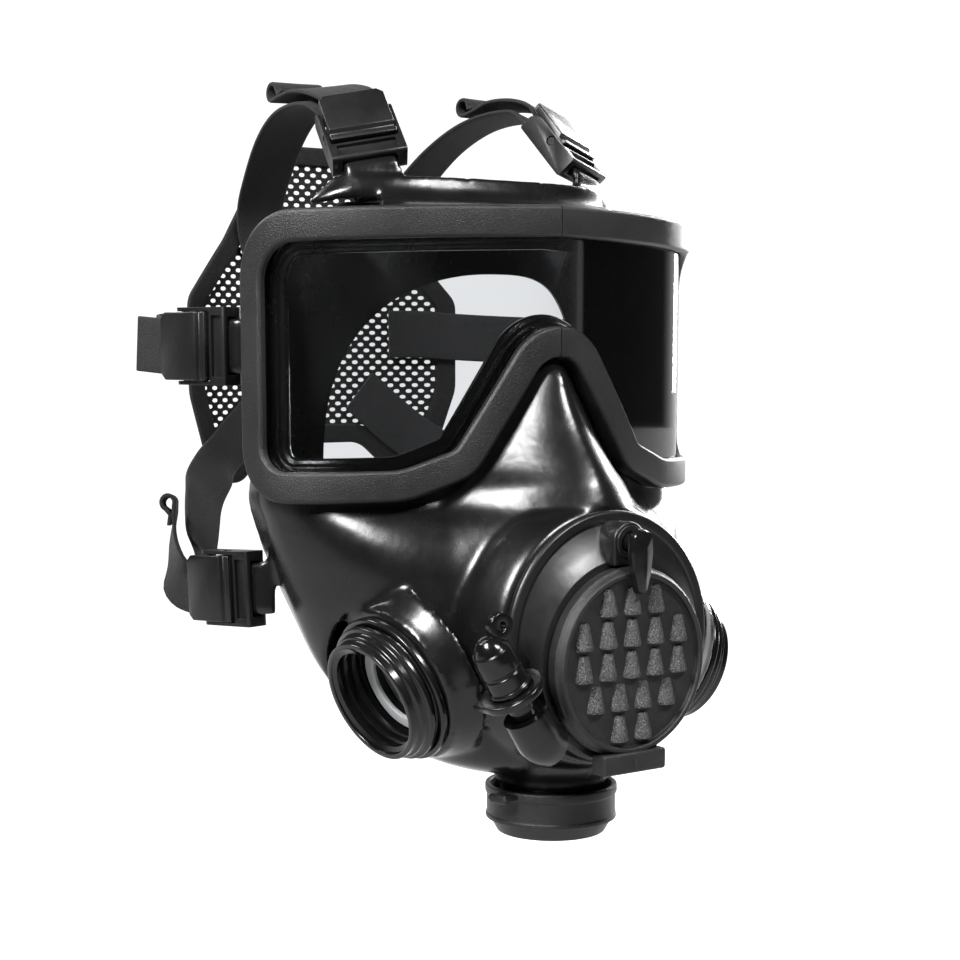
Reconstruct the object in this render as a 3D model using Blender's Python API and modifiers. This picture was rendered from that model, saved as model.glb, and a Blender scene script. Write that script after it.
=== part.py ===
"""Full face respirator with a panoramic visor, three threaded filter ports and a six-strap harness.

Frame: +Z up, the visor looks along -Y, +X is the wearer's left. The origin is on the mid-plane, in the
plane where the visor frame ends at the temples, level with the wearer's nose. Lengths below are in
millimetres and are turned into metres where a mesh is made.
"""
import math

import bmesh
import bpy
import numpy as np
from mathutils import Matrix, Vector

MM = 0.001
GAP = 0.35              # clearance between two pieces that touch
RIGHT, LEFT = -1, 1     # the wearer's sides, as the sign of X
SIDES = (("right", RIGHT), ("left", LEFT))
FORWARD = Vector((0, -1, 0))

# ---- visor and its frame ---------------------------------------------------------------------------
VISOR_HALF_WIDTH = 98.5
VISOR_DEPTH = 57.0          # from the temple plane to the frame's front face
VISOR_TOP = 110.2
VISOR_TOP_AT_TEMPLE = 106.5
VISOR_BOTTOM = 6.5
VISOR_END = 123.6           # half the frame's length, measured round its face
TOP_CORNER_RADIUS = 25.0
BOTTOM_CORNER_RADIUS = 20.0
CHEEK_CORNER = (60.0, 7.5, 40.0)    # round the face, height, radius
NOSE_CORNER = (35.0, 16.0, 18.0)
NOSE_PEAK = 66.0            # height where the two legs of the nose arch would meet
NOSE_PEAK_RADIUS = 12.0
BAND_WIDTH = 11.0
BAND_THICKNESS = 3.4
SKIRT_WALL = 3.0
LENS_THICKNESS = 2.8
SEAM = 0.3                  # between the two halves of the frame
FRAME_DEPTH = BAND_THICKNESS + LENS_THICKNESS + 2 * GAP     # how deep the skirt is

# ---- rubber facepiece ------------------------------------------------------------------------------
RUBBER = 3.0
SEAL_THICKNESS = 2.0
SEAL_HALF_WIDTH = 59.5
SEAL_TOP = 87.0
SEAL_BOTTOM = -58.0

# ---- filter ports: Rd 40 x 1/7 inch thread, two on the cheeks and one under the chin -----------------
THREAD_MAJOR_RADIUS = 20.2
THREAD_MINOR_RADIUS = 18.6
THREAD_PITCH = 25.4 / 7
PORT_LIP_RADIUS = 22.3
PORT_LENGTH = 15.5
PORT_FLANGE_RADIUS = 25.4
CLAMP_RADIUS = 27.2
CLAMP_BACK = -12.2
CLAMP_FRONT = -9.4
PORT_BACK = -19.5
SEAT_BORE = 13.5
SEAT_OUTER = 17.6
NECK_RADIUS = 29.0
NECK_STEP = 3.0           # how much the neck's front is narrower than its clamp
NECK_FRONT = -9.0         # along the port's axis, measured from the lip
NECK_BACK = -24.0
NECK_FOOT = 34.0
CHIN_NECK_FOOT = 27.0
NECK_BORE = PORT_FLANGE_RADIUS - 3.6
CHEEK_PORT = Vector((74.0, -44.6, -61.0))       # middle of the lip, on the wearer's left
CHEEK_PORT_AXIS = Vector((0.935, -0.06, -0.35)).normalized()
CHIN_PORT = Vector((0.0, -52.5, -109.0))
CHIN_PORT_AXIS = Vector((0.0, 0.0, -1.0))
SEAT_THICKNESS = 1.8
VALVE_DISC_RADIUS = 17.5
VALVE_DISC_THICKNESS = 0.8
CAP_WALL = 1.5
CAP_TOP = -12.0           # along the port's axis, measured from the lip
CAP_BOTTOM = 8.6
CAP_CHAMFER = (4.0, 6.5)
CHIN_SCALE = 0.86         # the chin port against a cheek port, across its axis

# ---- exhalation module -----------------------------------------------------------------------------
MODULE_Z = -40.0
MODULE_RADIUS = 44.5
MODULE_FRONT = -86.0
MODULE_WALL = 3.0
SPIGOT_BACK = -77.0
SLEEVE_BACK = -57.0       # where the nose cup leaves the module bore
NOSE_CUP_WALL = 2.2
BORE_RADIUS = 41.0
COVER_Z = -47.0
COVER_RADIUS = 33.2
COVER_LIP_RADIUS = 29.6
COVER_BACK = -92.5
COVER_FRONT = -99.0
COVER_PLATE = 1.8
STUD_PITCH = (10.6, 11.0)
STUD_RADIUS = 3.4
STUD_HEIGHT = 8.6
STUD_TAPER = 0.42         # the narrow end's radius against the wide end's
STUD_DEPTH = 1.15         # how far a stud stands out against its radius
STUD_SINK = 0.8
STUD_LIFT = -0.5
STUD_ROWS = ((-1, 0, 1), (-2, -1, 0, 1, 2), (-2, -1, 0, 1, 2), (-1.5, -0.5, 0.5, 1.5), (-0.5, 0.5))
EXHALE_RADIUS = 19.0
SPINDLE_Z = -5.5
SPINDLE_RADIUS = 3.2
SPINDLE_FRONT = -104.0
LEVER_LENGTH = 22.5
LEVER_WIDTH = 10.0
LEVER_THICKNESS = 5.0

# ---- drinking coupling on the wearer's right of the module -------------------------------------------
COUPLING_TOP = Vector((-60.8, -93.5, -34.0))
COUPLING_AXIS = Vector((0.54, 0.0, -0.842)).normalized()
COUPLING_RADIUS = 7.2

# ---- harness ---------------------------------------------------------------------------------------
STRAP_WIDTH = 20.0
STRAP_THICKNESS = 1.6
BUCKLE_HALF = 13.7
RAIL_WALL = 1.3
BUCKLE_LENGTH = 27.0
PIVOT = (13.0, 1.5)         # along the strap, out of the buckle's mid-plane
HEEL_RADIUS = 4.6
LEVER_END = 31.0
LEVER_PLATE = (3.7, 6.3)
BAR_ALONG = 24.2
BAR_SIZE = 2.2
STRAP_IN = -3.1             # level of the strap below the bar
STRAP_OUT = 1.7             # level of the free end above it
PAD_Y = 112.0
PAD_HALF_WIDTH = 65.0
PAD_SAG = 12.0              # how far the pad's sides come forward of its middle
PAD_THICKNESS = 2.4
BINDING_WIDTH = 8.0
BINDING_THICKNESS = 3.6
ON_PAD = BINDING_THICKNESS / 2 + STRAP_THICKNESS / 2 + GAP + 0.9     # the straps, before the pad
TAB_HALF = 9.8
TAB_THICKNESS = 3.6
TAB_IN_BUCKLE = 5.0
TAB_BEND = 2.5              # where the rubber tongue straightens, before the buckle

PARTS = None
CUTTERS = None
MATERIALS = {}
CHAINED = ("facepiece", "module_housing", "nose_cup")


# ==== scene and helpers =============================================================================
def start_scene():
    global PARTS, CUTTERS
    for item in list(bpy.data.objects):
        bpy.data.objects.remove(item, do_unlink=True)
    PARTS = bpy.data.collections.new("full_face_respirator")
    CUTTERS = bpy.data.collections.new("cutters")
    for group in (PARTS, CUTTERS):
        bpy.context.scene.collection.children.link(group)
    for name, colour, roughness, metallic in (
        ("rubber", (0.012, 0.012, 0.013), 0.32, 0.0),
        ("frame_plastic", (0.014, 0.014, 0.015), 0.55, 0.0),
        ("lens", (0.75, 0.77, 0.78), 0.04, 0.0),
        ("gloss_plastic", (0.010, 0.010, 0.011), 0.22, 0.0),
        ("cover_rubber", (0.016, 0.016, 0.017), 0.60, 0.0),
        ("buckle_nylon", (0.013, 0.013, 0.014), 0.38, 0.0),
        ("webbing", (0.008, 0.008, 0.009), 0.90, 0.0),
        ("mesh_fabric", (0.008, 0.008, 0.009), 0.85, 0.0),
        ("silicone", (0.42, 0.42, 0.41), 0.50, 0.0),
    ):
        made = bpy.data.materials.new(name)
        made.use_nodes = True
        shader = made.node_tree.nodes["Principled BSDF"]
        shader.inputs["Base Color"].default_value = (*colour, 1.0)
        shader.inputs["Roughness"].default_value = roughness
        shader.inputs["Metallic"].default_value = metallic
        made.diffuse_color = (*colour, 1.0)
        MATERIALS[name] = made


def finish_object(name, mesh, material, matrix=None, cutter=False):
    made = bpy.data.objects.new(name, mesh)
    (CUTTERS if cutter else PARTS).objects.link(made)
    if matrix is not None:
        made.matrix_world = matrix
    if material:
        mesh.materials.append(MATERIALS[material])
    if cutter:
        made.hide_render = True
        made.display_type = "WIRE"
    return made


def mesh_from(name, points, faces, outward=True):
    """A mesh from points in millimetres; a closed one gets its faces turned outward."""
    mesh = bpy.data.meshes.new(name)
    mesh.from_pydata([tuple(Vector(p) * MM) for p in points], [], faces)
    if outward:
        work = bmesh.new()
        work.from_mesh(mesh)
        bmesh.ops.recalc_face_normals(work, faces=work.faces)
        work.to_mesh(mesh)
        work.free()
    mesh.shade_smooth()
    mesh.set_sharp_from_angle(angle=math.radians(35))
    return mesh


def loft(name, rings, material=None, loop=False, origin=(0, 0, 0), cutter=False):
    """A closed solid through rings of equally many points, capped at both ends unless it is a loop."""
    count = len(rings[0])
    origin = Vector(origin)
    points = [Vector(p) - origin for ring in rings for p in ring]
    faces = []
    for i in range(len(rings) if loop else len(rings) - 1):
        a, b = i * count, ((i + 1) % len(rings)) * count
        for j in range(count):
            k = (j + 1) % count
            faces.append((a + j, a + k, b + k, b + j))
    if not loop:
        last = (len(rings) - 1) * count
        faces.append(tuple(range(count))[::-1])
        faces.append(tuple(last + j for j in range(count)))
    mesh = mesh_from(name, points, faces)
    return finish_object(name, mesh, material, Matrix.Translation(origin * MM), cutter)


def axis_matrix(place, axis):
    """Local +Z along the axis, at a place given in millimetres."""
    turn = Vector((0, 0, 1)).rotation_difference(Vector(axis)).to_matrix().to_4x4()
    return Matrix.Translation(Vector(place) * MM) @ turn


def turned(name, profile, place, axis, material=None, steps=32, cutter=False):
    """A body of revolution: (radius, height) points turned about the axis by a Screw modifier."""
    closed = min(r for r, _ in profile) > 1e-6
    ring = list(profile)
    area = sum(a[0] * b[1] - b[0] * a[1] for a, b in zip(ring, ring[1:] + ring[:1]))
    if area > 0:
        ring.reverse()
    mesh = bpy.data.meshes.new(name)
    edges = [(i, i + 1) for i in range(len(ring) - 1)] + ([(len(ring) - 1, 0)] if closed else [])
    mesh.from_pydata([(r * MM, 0, h * MM) for r, h in ring], edges, [])
    made = finish_object(name, mesh, material, axis_matrix(place, axis), cutter)
    screw = made.modifiers.new("turn", "SCREW")
    screw.axis = "Z"
    screw.steps = screw.render_steps = steps
    screw.use_merge_vertices = True
    screw.merge_threshold = 0.00002
    screw.use_smooth_shade = True
    return made


def prism(name, outline, half_width, matrix, material=None, cutter=False):
    """An outline in the local YZ plane, extruded to both sides along X."""
    rings = [[(side * half_width, y, z) for y, z in outline] for side in (-1, 1)]
    count = len(outline)
    faces = [tuple(range(count)), tuple(range(count, 2 * count))[::-1]]
    faces += [(j, (j + 1) % count, count + (j + 1) % count, count + j) for j in range(count)]
    mesh = mesh_from(name, rings[0] + rings[1], faces)
    return finish_object(name, mesh, material, matrix, cutter)


def box(name, low, high, matrix=None, material=None, cutter=False):
    outline = [(low[1], low[2]), (high[1], low[2]), (high[1], high[2]), (low[1], high[2])]
    middle = Matrix.Translation(Vector(((low[0] + high[0]) / 2, 0, 0)) * MM)
    return prism(name, outline, (high[0] - low[0]) / 2, (matrix or Matrix()) @ middle, material, cutter)


def boolean(target, other, operation):
    """Adds a Boolean. A chain of cuts on a curved shell stays closed only with the MANIFOLD solver."""
    change = target.modifiers.new(operation.lower(), "BOOLEAN")
    change.operation = operation
    change.object = other
    change.solver = "MANIFOLD" if target.name in CHAINED else "EXACT"
    return change


def cut(target, cutter):
    boolean(target, cutter, "DIFFERENCE")


def join(target, other):
    boolean(target, other, "UNION")


def arc(centre, radius, start, end, count):
    """Points of a plane arc, angles in degrees."""
    angles = np.radians(np.linspace(start, end, count))
    return [(centre[0] + radius * math.cos(a), centre[1] + radius * math.sin(a)) for a in angles]


def smooth_curve(points, per_span=4):
    """Points on a Catmull-Rom curve through the given ones."""
    given = [Vector(p) for p in points]
    padded = [2 * given[0] - given[1]] + given + [2 * given[-1] - given[-2]]
    out = []
    for a, b, c, d in zip(padded, padded[1:], padded[2:], padded[3:]):
        for step in range(per_span):
            t = step / per_span
            out.append(0.5 * ((2 * b) + (c - a) * t + (2 * a - 5 * b + 4 * c - d) * t * t
                              + (3 * b - a - 3 * c + d) * t ** 3))
    return out + [given[-1]]


# ==== visor surface and outline =====================================================================
def arc_table(half_width, depth):
    theta = np.linspace(0, math.pi / 2, 721)
    x, y = half_width * np.sin(theta), -depth * np.cos(theta)
    length = np.concatenate([[0], np.cumsum(np.hypot(np.diff(x), np.diff(y)))])
    return theta, length


VISOR_THETA, VISOR_LENGTH = arc_table(VISOR_HALF_WIDTH, VISOR_DEPTH)


def on_visor(along, height, depth):
    """A point at a length round the frame's face, at a height, and so far out of the face."""
    side = -1 if along < 0 else 1
    length = abs(along)
    theta = float(np.interp(length, VISOR_LENGTH, VISOR_THETA))
    past = max(0.0, length - float(VISOR_LENGTH[-1]))
    normal = Vector((math.sin(theta) / VISOR_HALF_WIDTH, -math.cos(theta) / VISOR_DEPTH)).normalized()
    x = VISOR_HALF_WIDTH * math.sin(theta) + normal.x * depth
    y = -VISOR_DEPTH * math.cos(theta) + normal.y * depth + past
    return Vector((side * x, y, height))


def filleted(corners, arc_step=20, run_step=15.0, tight_step=8.0, tight_from=85.0):
    """Points along a chain of straight runs whose inner corners (x, y, radius) are rounded."""
    points = [Vector(corners[0][:2])]
    runs = []
    last = points[0]
    for before, here, after in zip(corners, corners[1:], corners[2:]):
        p, q, r = Vector(before[:2]), Vector(here[:2]), Vector(after[:2])
        u, v = (p - q).normalized(), (r - q).normalized()
        half = u.angle(v) / 2
        reach = here[2] / math.tan(half)
        centre = q + (u + v).normalized() * (here[2] / math.sin(half))
        first, end = q + u * reach, q + v * reach
        start_angle = math.atan2(first.y - centre.y, first.x - centre.x)
        turn = math.atan2(end.y - centre.y, end.x - centre.x) - start_angle
        turn = (turn + math.pi) % (2 * math.pi) - math.pi
        steps = max(2, round(abs(math.degrees(turn)) / arc_step))
        runs.append((last, first))
        runs.append([centre + Vector((math.cos(start_angle + turn * i / steps),
                                      math.sin(start_angle + turn * i / steps))) * here[2]
                     for i in range(steps + 1)])
        last = end
    runs.append((last, Vector(corners[-1][:2])))
    for run in runs:
        if isinstance(run, tuple):
            start, end = run
            step = tight_step if max(start.x, end.x) > tight_from else run_step
            count = max(1, math.ceil((end - start).length / step))
            fresh = [start.lerp(end, i / count) for i in range(count + 1)]
        else:
            fresh = run
        points += [p for p in fresh if (p - points[-1]).length > 0.4]
    return points


def inward_normals(points):
    """Unit normals to the right of the direction of travel, vertical at both ends on the mid-plane."""
    normals = []
    for i, _ in enumerate(points):
        along = points[min(i + 1, len(points) - 1)] - points[max(i - 1, 0)]
        normals.append(Vector((along.y, -along.x)).normalized())
    normals[0], normals[-1] = Vector((0, -1)), Vector((0, 1))
    return normals


def visor_outline():
    """The left half of the frame's outline, from the top middle round to the nose peak."""
    leg = Vector((NOSE_CORNER[0], NOSE_CORNER[1])) - Vector((0, NOSE_PEAK))
    half = math.atan2(leg.x, -leg.y)
    lift = NOSE_PEAK_RADIUS / math.sin(half)
    apex = NOSE_PEAK - lift + NOSE_PEAK_RADIUS
    touch = Vector((math.cos(half), math.sin(half))) * NOSE_PEAK_RADIUS + Vector((0, NOSE_PEAK - lift))
    corners = [
        (0.0, VISOR_TOP),
        (VISOR_END, VISOR_TOP_AT_TEMPLE, TOP_CORNER_RADIUS),
        (VISOR_END, VISOR_BOTTOM, BOTTOM_CORNER_RADIUS),
        CHEEK_CORNER,
        NOSE_CORNER,
        tuple(touch),
    ]
    chain = filleted(corners)
    centre = (0.0, NOSE_PEAK - lift)
    peak = arc(centre, NOSE_PEAK_RADIUS, math.degrees(half), 90, 4)
    chain += [Vector(p) for p in peak[1:]]
    chain[-1] = Vector((0.0, apex))
    return chain


def inset(chain, distance):
    return [p + n * distance for p, n in zip(chain, inward_normals(chain))]


def upper_and_lower(chain):
    """Split a half outline at its outermost point into height tables for its top and bottom."""
    tip = max(range(len(chain)), key=lambda i: chain[i].x)
    top = chain[:tip + 1]
    bottom = chain[tip:][::-1]
    return ([p.x for p in top], [p.y for p in top]), ([p.x for p in bottom], [p.y for p in bottom])


def spans(chain, least=1.2):
    """Stations along a symmetric outline: (along, bottom, top), thinned to a least spacing."""
    (tx, ty), (bx, by) = upper_and_lower(chain)
    end = min(max(tx), max(bx))
    stations = []
    for x in sorted(tx + bx):
        if x <= end and (not stations or x - stations[-1] > least):
            stations.append(x)
    stations[-1] = end - 0.01
    half = [(x, float(np.interp(x, bx, by)), float(np.interp(x, tx, ty))) for x in stations]
    half[0] = (0.0, by[0], ty[0])
    return [(-x, low, high) for x, low, high in half[:0:-1]] + half


def strip_solid(name, stations, front, back, surface, material=None, cutter=False):
    """A curved plate between two depths of a surface, from upright strips."""
    rings = []
    for along, low, high in stations:
        rings.append([surface(along, low, front), surface(along, high, front),
                      surface(along, high, back), surface(along, low, back)])
    return loft(name, rings, material, cutter=cutter)


def sweep_outline(name, chain, side, profile, surface, material=None, cutter=False, seam=0.0, loop=False):
    """A profile of (inward, outward) points carried along an outline drawn on a surface."""
    normals = inward_normals(chain)
    places = [(side * p.x, p.y, side * n.x, n.y) for p, n in zip(chain, normals)]
    places[0] = (side * seam, *places[0][1:])
    places[-1] = (side * seam, *places[-1][1:])
    if loop:
        places += [(-a, b, -c, d) for a, b, c, d in places[-2:0:-1]]
    rings = [[surface(a + c * t, b + d * t, out) for t, out in profile] for a, b, c, d in places]
    return loft(name, rings, material, loop=loop, cutter=cutter)


# ==== visor =========================================================================================
def build_visor():
    chain = visor_outline()
    lens_front = -(BAND_THICKNESS + GAP)
    lens_chain = inset(chain, SKIRT_WALL + 2 * GAP)
    strip_solid("visor_lens", spans(lens_chain), lens_front, lens_front - LENS_THICKNESS, on_visor, "lens")
    profile = [(0, -FRAME_DEPTH), (0, -1.2), (1.2, 0), (BAND_WIDTH, 0),
               (BAND_WIDTH, -BAND_THICKNESS), (SKIRT_WALL, -BAND_THICKNESS), (SKIRT_WALL, -FRAME_DEPTH)]
    for name, side in SIDES:
        sweep_outline(f"visor_frame_{name}", chain, side, profile, on_visor, "frame_plastic",
                      seam=SEAM / 2)


# ==== facepiece =====================================================================================
# height: (where the ellipse is centred, half width, front, rear half width, rear, nose rise, nose half width)
LEVELS = (
    (-91.5, (-50, 20, -64, 16, -40, 0, 50)),
    (-89.5, (-46, 33, -70, 28, -32, 0, 50)),
    (-84.0, (-38, 47, -75, 42, -24, 0, 50)),
    (-75.0, (-26, 59, -78, 54, -14, 0, 50)),
    (-64.0, (-16, 67, -80, 62, -6, 0, 50)),
    (-52.0, (-9, 73, -81, 69, 0, 1, 50)),
    (-38.0, (-4, 77.5, -80, 74, 5, 2, 50)),
    (-17.0, (0, 84, -74.5, 81, 12, 8, 50)),
    (-8.0, (0, 86.5, -69, 84, 13.5, 13, 48)),
    (-1.0, (0, 88.5, -61, 86, 14, 22, 46)),
    (6.5, (0, 90.8, -50.2, 88.3, 13.5, 33, 42)),
    (11.0, (0, 91.0, -49.3, 88.5, 12.5, 32, 39)),
    (18.0, (0, 91.2, -49.4, 89, 10, 28, 31)),
    (32.0, (0, 91.2, -49.4, 90, 5, 18, 21)),
    (46.0, (0, 91.2, -49.4, 90, 4, 10.5, 12)),
    (52.0, (0, 91.2, -49.4, 90, 4, 8, 8)),
    (56.0, (0, 91.2, -49.4, 90, 4, 3, 6)),
    (80.0, (0, 91.2, -49.4, 90, 4, 0, 6)),
    (108.0, (0, 88.0, -48.5, 86, 4, 0, 6)),
    (110.5, (0, 80.0, -43, 77, 3, 0, 6)),
    (112.0, (0, 70.0, -31, 67, 2, 0, 6)),
    (116.0, (0, 65.0, -26.5, 62, 1, 0, 6)),
    (121.0, (-2, 60.0, -25, 55, -4, 0, 6)),
)
HALF_ANGLES = (0, 6, 12, 18, 25, 35, 47, 60, 75, 90)


def section(values, angles):
    """One level of the facepiece: from the wearer's right temple round the front to the left."""
    middle, width, front, rear_width, rear, rise, reach = values
    points = []
    for angle in angles:
        turn = math.radians(angle)
        x = width * math.sin(turn)
        y = middle + (front - middle) * math.cos(turn)
        share = min(1.0, abs(x) / reach)
        y -= rise * (1 - share * share) ** 0.9
        points.append((x, y))
    half = [((width + rear_width) / 2, (middle + rear) / 2), (rear_width, rear)]
    return [(-x, y) for x, y in half[::-1]] + points + half


def facepiece_shell():
    angles = [-a for a in HALF_ANGLES[:0:-1]] + list(HALF_ANGLES)
    rings = [[(x, y, z) for x, y in section(values, angles)] for z, values in LEVELS]
    count = len(rings[0])
    points = [p for ring in rings for p in ring]
    faces = []
    for i in range(len(rings) - 1):
        for j in range(count - 1):
            a, b = i * count + j, (i + 1) * count + j
            faces.append((a, a + 1, b + 1, b))
    last = count - 1
    for k in range(last // 2):
        floor = (last - k, last - k - 1, k + 1, k)
        faces.append(floor if floor[1] != floor[2] else (last - k, k + 1, k))
    mesh = mesh_from("facepiece", points, faces, outward=False)
    shell = finish_object("facepiece", mesh, "rubber")
    wall = shell.modifiers.new("wall", "SOLIDIFY")
    wall.thickness = RUBBER * MM
    wall.offset = -1
    wall.use_even_offset = True
    return shell


def port_axis(side):
    return Vector((side * CHEEK_PORT_AXIS.x, CHEEK_PORT_AXIS.y, CHEEK_PORT_AXIS.z))


def port_place(side):
    return Vector((side * CHEEK_PORT.x, CHEEK_PORT.y, CHEEK_PORT.z))


def ports():
    """Each port: its name, the middle of its lip and its outward axis."""
    cheeks = [(name, port_place(side), port_axis(side)) for name, side in SIDES]
    return cheeks + [("chin", CHIN_PORT, CHIN_PORT_AXIS)]


def add_necks(shell):
    for name, place, axis in ports():
        around = turned(f"port_room_{name}", [(0, -14.5), (NECK_RADIUS + 1.5, -14.5), (NECK_RADIUS + 1.5,
                                                            20), (0, 20)],
                        place, axis, cutter=True)
        cut(shell, around)
        chin = name == "chin"
        throat = (CLAMP_RADIUS - NECK_STEP) * port_scale(name)
        base = CHIN_NECK_FOOT if chin else NECK_FOOT
        outer = throat if chin else NECK_RADIUS
        front = CAP_TOP - GAP if chin else NECK_FRONT
        neck = turned(f"neck_{name}", [(0, NECK_BACK), (base, NECK_BACK), (base - 1.5, -21), (outer, -15.5),
                                       (outer, -13), (throat, -12.6), (throat, front), (0, front)],
                      place, axis, cutter=True)
        join(shell, neck)


def bore_necks(shell):
    for name, place, axis in ports():
        wide = NECK_BORE * port_scale(name)
        bore = turned(f"neck_bore_{name}", [(0, -60), (wide - 1.5, -60), (wide - 1.5, -20),
                                            (wide + GAP, -20), (wide + GAP, 5), (0, 5)],
                      place, axis, cutter=True)
        cut(shell, bore)


def add_module_seat(shell):
    seat_front = -MODULE_FRONT - MODULE_WALL - GAP
    place = (0, 0, MODULE_Z)
    seat = turned("module_seat", [(0, 58), (52, 58), (50, 70), (46.5, seat_front - 3), (MODULE_RADIUS,
                                                            seat_front),
                                  (0, seat_front)], place, FORWARD, steps=28, cutter=True)
    join(shell, seat)
    bore = turned("module_bore", [(0, 20), (BORE_RADIUS, 20), (BORE_RADIUS, 120), (0, 120)],
                  place, FORWARD, steps=28, cutter=True)
    cut(shell, bore)
    rim = MODULE_RADIUS + 1.5
    room = turned("module_room", [(0, seat_front), (rim, seat_front), (rim, 120), (0, 120)], place, FORWARD,
                  steps=28, cutter=True)
    cut(shell, room)


def buckle_frames():
    """Each buckle: its name, the middle of its base, the strap's direction and the outward normal."""
    for name, side in SIDES:
        yield f"top_{name}", Vector((side * 48.5, -8.5, 125.5)), Vector((side * -0.15, 0.68, 0.72)), \
            Vector((side * 0.41, -0.72, 0.56))
        yield f"temple_{name}", Vector((side * 95.8, 8.5, 61)), Vector((side * 0.26, 0.966, 0)), \
            Vector((side * 0.966, -0.26, 0))
        yield f"lower_{name}", Vector((side * 87.4, 9.2, -25.8)), Vector((side * 0.22, 0.97, -0.05)), \
            Vector((side * 0.97, -0.22, 0.0))


def buckle_matrix(place, along, normal):
    """Local Y runs along the strap, local Z points away from the head."""
    y = along.normalized()
    z = (normal - y * normal.dot(y)).normalized()
    x = y.cross(z)
    turn = Matrix((x, y, z)).transposed().to_4x4()
    return Matrix.Translation(place * MM) @ turn


def add_tabs(shell):
    """The rubber tongues that carry the six buckles."""
    for name, place, along, normal in buckle_frames():
        frame = buckle_matrix(place, along, normal)
        side = 1 if place.x > 0 else -1
        roots = {
            "top": Vector((side * 45.0, -13.5, 112.0)),
            "temple": Vector((side * 89.6, 1.8, 61)),
            "lower": Vector((side * 83.0, 3.0, -24)),
        }
        root = roots[name.split("_")[0]]
        turn = frame.to_3x3()
        x, y, z = (turn.col[i] for i in range(3))
        bend = place - y * TAB_BEND
        rings = []
        for middle, half, thick in ((root, TAB_HALF + 2, 2.0), (root.lerp(bend, 0.55), TAB_HALF,
                                                            TAB_THICKNESS),
                                    (bend, TAB_HALF, TAB_THICKNESS), (place + y * TAB_IN_BUCKLE, TAB_HALF,
                                                            TAB_THICKNESS)):
            rings.append([middle + x * (a * half) + z * (b * thick / 2) for a, b in
                          ((-1, -1), (1, -1), (1, 1), (-1, 1))])
        tab = loft(f"tab_{name}", rings, cutter=True)
        join(shell, tab)


def build_facepiece():
    shell = facepiece_shell()
    add_module_seat(shell)
    add_necks(shell)
    bore_necks(shell)
    add_tabs(shell)
    chain = visor_outline()
    opening = spans(inset(chain, BAND_WIDTH + 0.5), least=4.0)
    cut(shell, strip_solid("visor_opening", opening, 4, -40, on_visor, cutter=True))
    back = -(FRAME_DEPTH + GAP)
    room = [(-GAP, back), (-GAP, 14), (BAND_WIDTH + 1.0, 14), (BAND_WIDTH + 1.0, back)]
    cut(shell, sweep_outline("frame_room", chain, LEFT, room, on_visor, cutter=True, loop=True))
    return shell


def rear_loop():
    """The inner side of the facepiece's rear edge, going once round the face."""
    inner = RUBBER + 3.0
    left = []
    for z, (_, _, _, rear_width, rear, _, _) in LEVELS[1:-1]:
        lift = 6.0 if z < -80 else (-4.5 if z > 105 else 0.0)
        left.append(Vector((rear_width - inner, rear - 1.5, z + lift)))
    z, (middle, width, front, _, _, _, _) = LEVELS[-2]
    top = []
    for angle in (62, 48, 34, 22, 11, 0):
        turn = math.radians(angle)
        reach = middle - front - inner - 2.0
        top.append(Vector(((width - inner - 2.0) * math.sin(turn), middle - reach * math.cos(turn),
                           z - 4.5)))
    return left + top


def build_face_seal():
    half = rear_loop()
    centre_z = (SEAL_TOP + SEAL_BOTTOM) / 2
    rings = []
    loop = half + [Vector((-p.x, p.y, p.z)) for p in half[-2::-1]]
    for outer in loop:
        angle = math.atan2((outer.z - centre_z) / (SEAL_TOP - centre_z), outer.x / SEAL_HALF_WIDTH)
        c, s = math.cos(angle), math.sin(angle)
        size = (abs(c) ** 2.6 + abs(s) ** 2.6) ** (-1 / 2.6)
        inner = Vector((SEAL_HALF_WIDTH * size * c, 8.0 - 28.0 * abs(s) ** 3,
                        centre_z + (SEAL_TOP - centre_z) * size * s))
        across = inner - outer
        along = Vector((-s, 0, c))
        lift = across.cross(along).normalized() * (SEAL_THICKNESS / 2)
        middle = outer.lerp(inner, 0.5) + Vector((0, 3.0, 0))
        rings.append([outer + lift, middle + lift, inner + lift, inner - lift, middle - lift, outer - lift])
    loft("face_seal", rings, "rubber", loop=True)


# ==== ports =========================================================================================
def port_scale(name):
    return CHIN_SCALE if name == "chin" else 1.0


def widened(profile, scale):
    return [(radius * scale, height) for radius, height in profile]


def port_insert_profile():
    """The threaded ring: flange at the back, lip in front, and a ridge for each turn of thread."""
    outer = [(NECK_BORE, PORT_BACK), (NECK_BORE, -8.6), (PORT_FLANGE_RADIUS, -8.2), (PORT_FLANGE_RADIUS,
                                                            -6.2),
             (PORT_LIP_RADIUS + 1.2, -5.6), (PORT_LIP_RADIUS + 1.2, -3.6), (PORT_LIP_RADIUS, -3.2),
             (PORT_LIP_RADIUS, 0)]
    ridges = [(THREAD_MAJOR_RADIUS, 0)]
    height = -0.5
    while height - THREAD_PITCH > -PORT_LENGTH:
        ridges += [(THREAD_MINOR_RADIUS, height - 0.35 * THREAD_PITCH),
                   (THREAD_MAJOR_RADIUS, height - 0.85 * THREAD_PITCH)]
        height -= THREAD_PITCH
    seat = [(THREAD_MAJOR_RADIUS, -PORT_LENGTH), (16.0, -PORT_LENGTH), (16.0, PORT_BACK)]
    return outer + ridges + seat


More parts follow.
